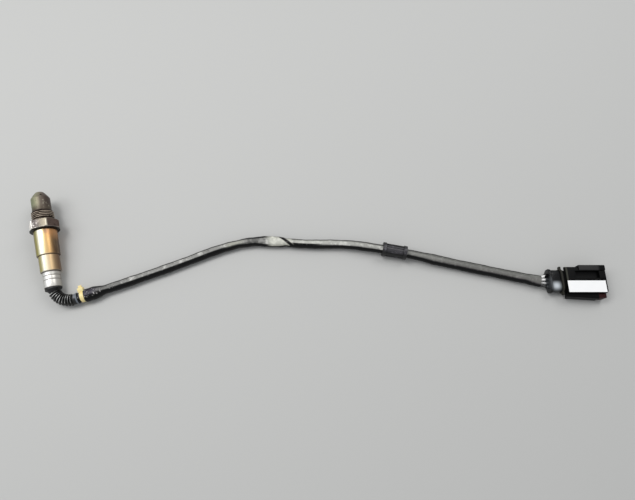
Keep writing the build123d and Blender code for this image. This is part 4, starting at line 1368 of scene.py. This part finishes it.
channel = rounded(channel_width, 2 * channel_depth, 0.3 * MM, (channel_left, body_height), 2)
mouth = rounded(*mouth_size, cap_middle)
pocket_middle = (-(body_width / 2 + lock_proud), skirt_height / 2)
lock_pocket = rounded(2 * lock_proud, skirt_height + past, 0.2 * MM, pocket_middle, 2)
rear_slope = [
    (body_place - 0.03 * MM, slope_section(11.5 * MM, 4.5 * MM)),
    (body_place + 6.0 * MM, slope_section(1.0 * MM, -9.0 * MM)),
]
body_mesh = combined(
    moulded(body_place, body_front, (body_width, body_height, body_corner), body_middle),
    [
        ("UNION", moulded(flange_place, neck_place, flange_size, flange_middle, 0.2 * MM)),
        ("UNION", moulded(flange_place, neck_place, ears, ears_middle, 0.2 * MM)),
        ("UNION", moulded(neck_place - overlap, body_place + overlap, neck_size, cap_middle, 0.1 * MM)),
        ("UNION", moulded(rail_place, body_front, rail_size, rail_middle)),
        ("UNION", bar((body_place, skirt_section(0)), (body_front, skirt_section(skirt_widening)))),
        ("DIFFERENCE", straight(channel_place, body_front + past, channel)),
        ("DIFFERENCE", bar(*rear_slope)),
        ("UNION", moulded(bridge_place, bridge_place + bridge_length, bridge, bridge_middle, 0.15 * MM)),
        ("DIFFERENCE", straight(body_front - mouth_depth, body_front + past, mouth)),
        ("DIFFERENCE", straight(lock_place, body_front + past, lock_pocket)),
    ],
)
coat = Finish("plug_plastic", 0.42, specular=0.08)
plug_body = placed(body_mesh, PLUG, "plug_moulding", coat, "plug_housing")
x, y, z = coat.axis_parts(plug_origin, plug_turn)
plastic = coat.patches(350, 0.42, 0.25).mix((0.003, 0.003, 0.003), (0.009, 0.009, 0.0085))
on_rail = z.span(body_height + 0.3 * MM, body_height + 0.7 * MM) * x.span(44 * MM, 41 * MM)
plastic = (on_rail * 0.8).mix(plastic, (0.040, 0.039, 0.039))
on_flange = x.near(flange_place + flange_thickness / 2, 0.8 * MM, 0.3 * MM)
plastic = on_flange.mix(plastic, (0.030, 0.029, 0.024))
# A lighter streak along the body's rear edge.
rear_edge_streak = x.near(body_place + 0.9 * MM, 0.4 * MM, 0.6 * MM) * y.span(-2 * MM, 0)
coat.link(rear_edge_streak.mix(plastic, (0.045, 0.045, 0.036)), "Base Color")
coat.tooth(3500, 0.3, 0.05 * MM)

coat = mottled(
    "lock_plastic",
    0.5,
    (500, 0.40, 0.2),
    (0.028, 0.005, 0.005),
    (0.010, 0.003, 0.003),
    (3000, 0.2, 0.04 * MM),
    specular=0.15,
)
lock_start = lock_place + lock_gap
lock_middle = (-(body_width + lock_proud) / 2 - lock_gap, lock_lift + lock_height / 2)
lock_size = (lock_proud, lock_height, 0.5 * MM)
lock_mesh = moulded(lock_start, lock_start + lock_length, lock_size, lock_middle, 0.25 * MM)
side_lock = placed(lock_mesh, PLUG, "side_lock_moulding", coat, "side_lock")

label_length = 33.2 * MM
label_width = 10.2 * MM
label_thickness = 0.075 * MM
label_inset = 0.3 * MM
label_wrinkle = 0.05 * MM
label_shape = bmesh.new()
bmesh.ops.create_grid(label_shape, x_segments=60, y_segments=20, size=0.5)
for vertex in label_shape.verts:
    wrinkle = label_wrinkle * (1 + sin(vertex.co.x * 17 + vertex.co.y * 5) * sin(vertex.co.y * 9))
    vertex.co = Vector((vertex.co.x * label_length, vertex.co.y * label_width, wrinkle))
label_mesh = bpy.data.meshes.new("label_paper")
label_shape.to_mesh(label_mesh)
label_shape.free()
sheet = shown("sheet", label_mesh)
thicken = sheet.modifiers.new("thickness", "SOLIDIFY")
thicken.thickness = label_thickness
thicken.offset = 1
label_start = body_place + label_inset
label_right = -body_width / 2 + label_inset
label_middle = Vector((label_start + label_length / 2, label_right + label_width / 2, body_height))
coat = mottled(
    "label_paper", 0.5, (300, 0.30, 0.2), (0.99, 0.99, 0.985), (0.92, 0.91, 0.90), (2500, 0.15, 0.04 * MM)
)
LABEL = PLUG @ Matrix.Translation(label_middle)
label = placed(evaluated(sheet), LABEL, "label_paper", coat, "label", sharp=40)

pin_metal = mottled(
    "pin_metal",
    0.28,
    (700, 0.4, 0.2),
    (0.80, 0.78, 0.72),
    (0.62, 0.58, 0.50),
    (3000, 0.08, 0.03 * MM),
    metallic=1.0,
)
pin_nodes = [f"plug_pin_{number}" for number in range(1, 5)]
dress(pin_metal, *pin_nodes)
seal_rubber = mottled(
    "seal_rubber", 0.5, (900, 0.4, 0.2), (0.45, 0.10, 0.06), (0.34, 0.08, 0.05), (3000, 0.15, 0.04 * MM)
)
seal_nodes = [f"wire_seal_{number}" for number in range(1, 5)]
dress(seal_rubber, *seal_nodes)

# ---- Wires --------------------------------------------------------------------------
# Four insulated wires, two white for the heater, a grey and a black, seen where they
# leave the sheath for the plug. Each is drawn at both ends, as it runs inside the sheath.

wire_radius = 1.0 * MM
wire_depth = 4.7 * MM
mouth_spread = 0.76
inner_spread = 0.5
barrel_rear = 41.5 * MM
seal_room = 6.2 * MM
wire_end = cap_rim_length + seal_room + 1.0 * MM
last_run = (route[-1] - route[-2]).normalized()
bend_left = left_of(bend_out - bend_in)
tail_side = left_of(tail)


def insulated(name, colour, scuff):
    return mottled(name, 0.38, (600, 0.36, 0.2), colour, scuff, (2000, 0.1, 0.04 * MM))


def mitred(corner, before, after, shift):
    """A corner of the wires' middle line moved to the left by some amount."""
    return corner + (before + after) * (shift / (1 + before.dot(after)))


def wire_mesh(name, sideways, upwards, shift):
    """Both ends of one wire: from the contact to the sheath, and from the sheath to the pin."""
    level = Vector((0, 0, upwards))
    rear_points = [
        seat_point - sensor_axis * barrel_rear - sensor_across * sideways + sensor_up * upwards,
        mitred(bend_in, -sensor_across, bend_left, sideways) + level,
        mitred(bend_out, tail_side, bend_left, sideways) + level,
        route[0] + tail * wire_depth + tail_side * sideways + level,
    ]
    mouth_shift = left_of(last_run) * shift * mouth_spread
    mouth = route[-1] + mouth_shift
    terminal = plug_origin + plug_left * shift + Vector((0, 0, terminal_height))
    front_points = [
        route[-1] - last_run * wire_depth + mouth_shift * inner_spread,
        mouth,
        (mouth + terminal) / 2,
        terminal - nose * 1.0 * MM,
        terminal + nose * wire_end,
    ]
    runs = [spline_line(points, 24) for points in (rear_points, front_points)]
    return merged(name, [tube_along(name, run, lambda _: (wire_radius, wire_radius), 20) for run in runs])


white_wire = insulated("white_wire", (0.93, 0.92, 0.90), (0.66, 0.63, 0.56))
grey_wire = insulated("grey_wire", (0.55, 0.55, 0.54), (0.34, 0.33, 0.31))
black_wire = insulated("black_wire", (0.012, 0.012, 0.012), (0.03, 0.028, 0.026))
apart = 1.35 * MM
wires = []
for name, finish, sideways, upwards, shift in (
    ("heater_wire_a", white_wire, apart, apart, terminal_shifts[0]),
    ("heater_wire_b", white_wire, apart, -apart, terminal_shifts[1]),
    ("ground_wire", grey_wire, -apart, apart, terminal_shifts[2]),
    ("signal_wire", black_wire, -apart, -apart, terminal_shifts[3]),
):
    strand = name + "_strand"
    strand_mesh = wire_mesh(strand, sideways, upwards, shift)
    wires.append(placed(strand_mesh, Matrix(), strand, finish, name, sharp=60))

# ---- Pieces on the lead -------------------------------------------------------------
# The boot, tie, clip, wires and every piece of the plug are gathered in one list.

on_lead = wires + [boot, tie, clip, rear_cap, plug_body, side_lock, label]
on_lead += [bpy.data.objects[name] for name in pin_nodes + seal_nodes]
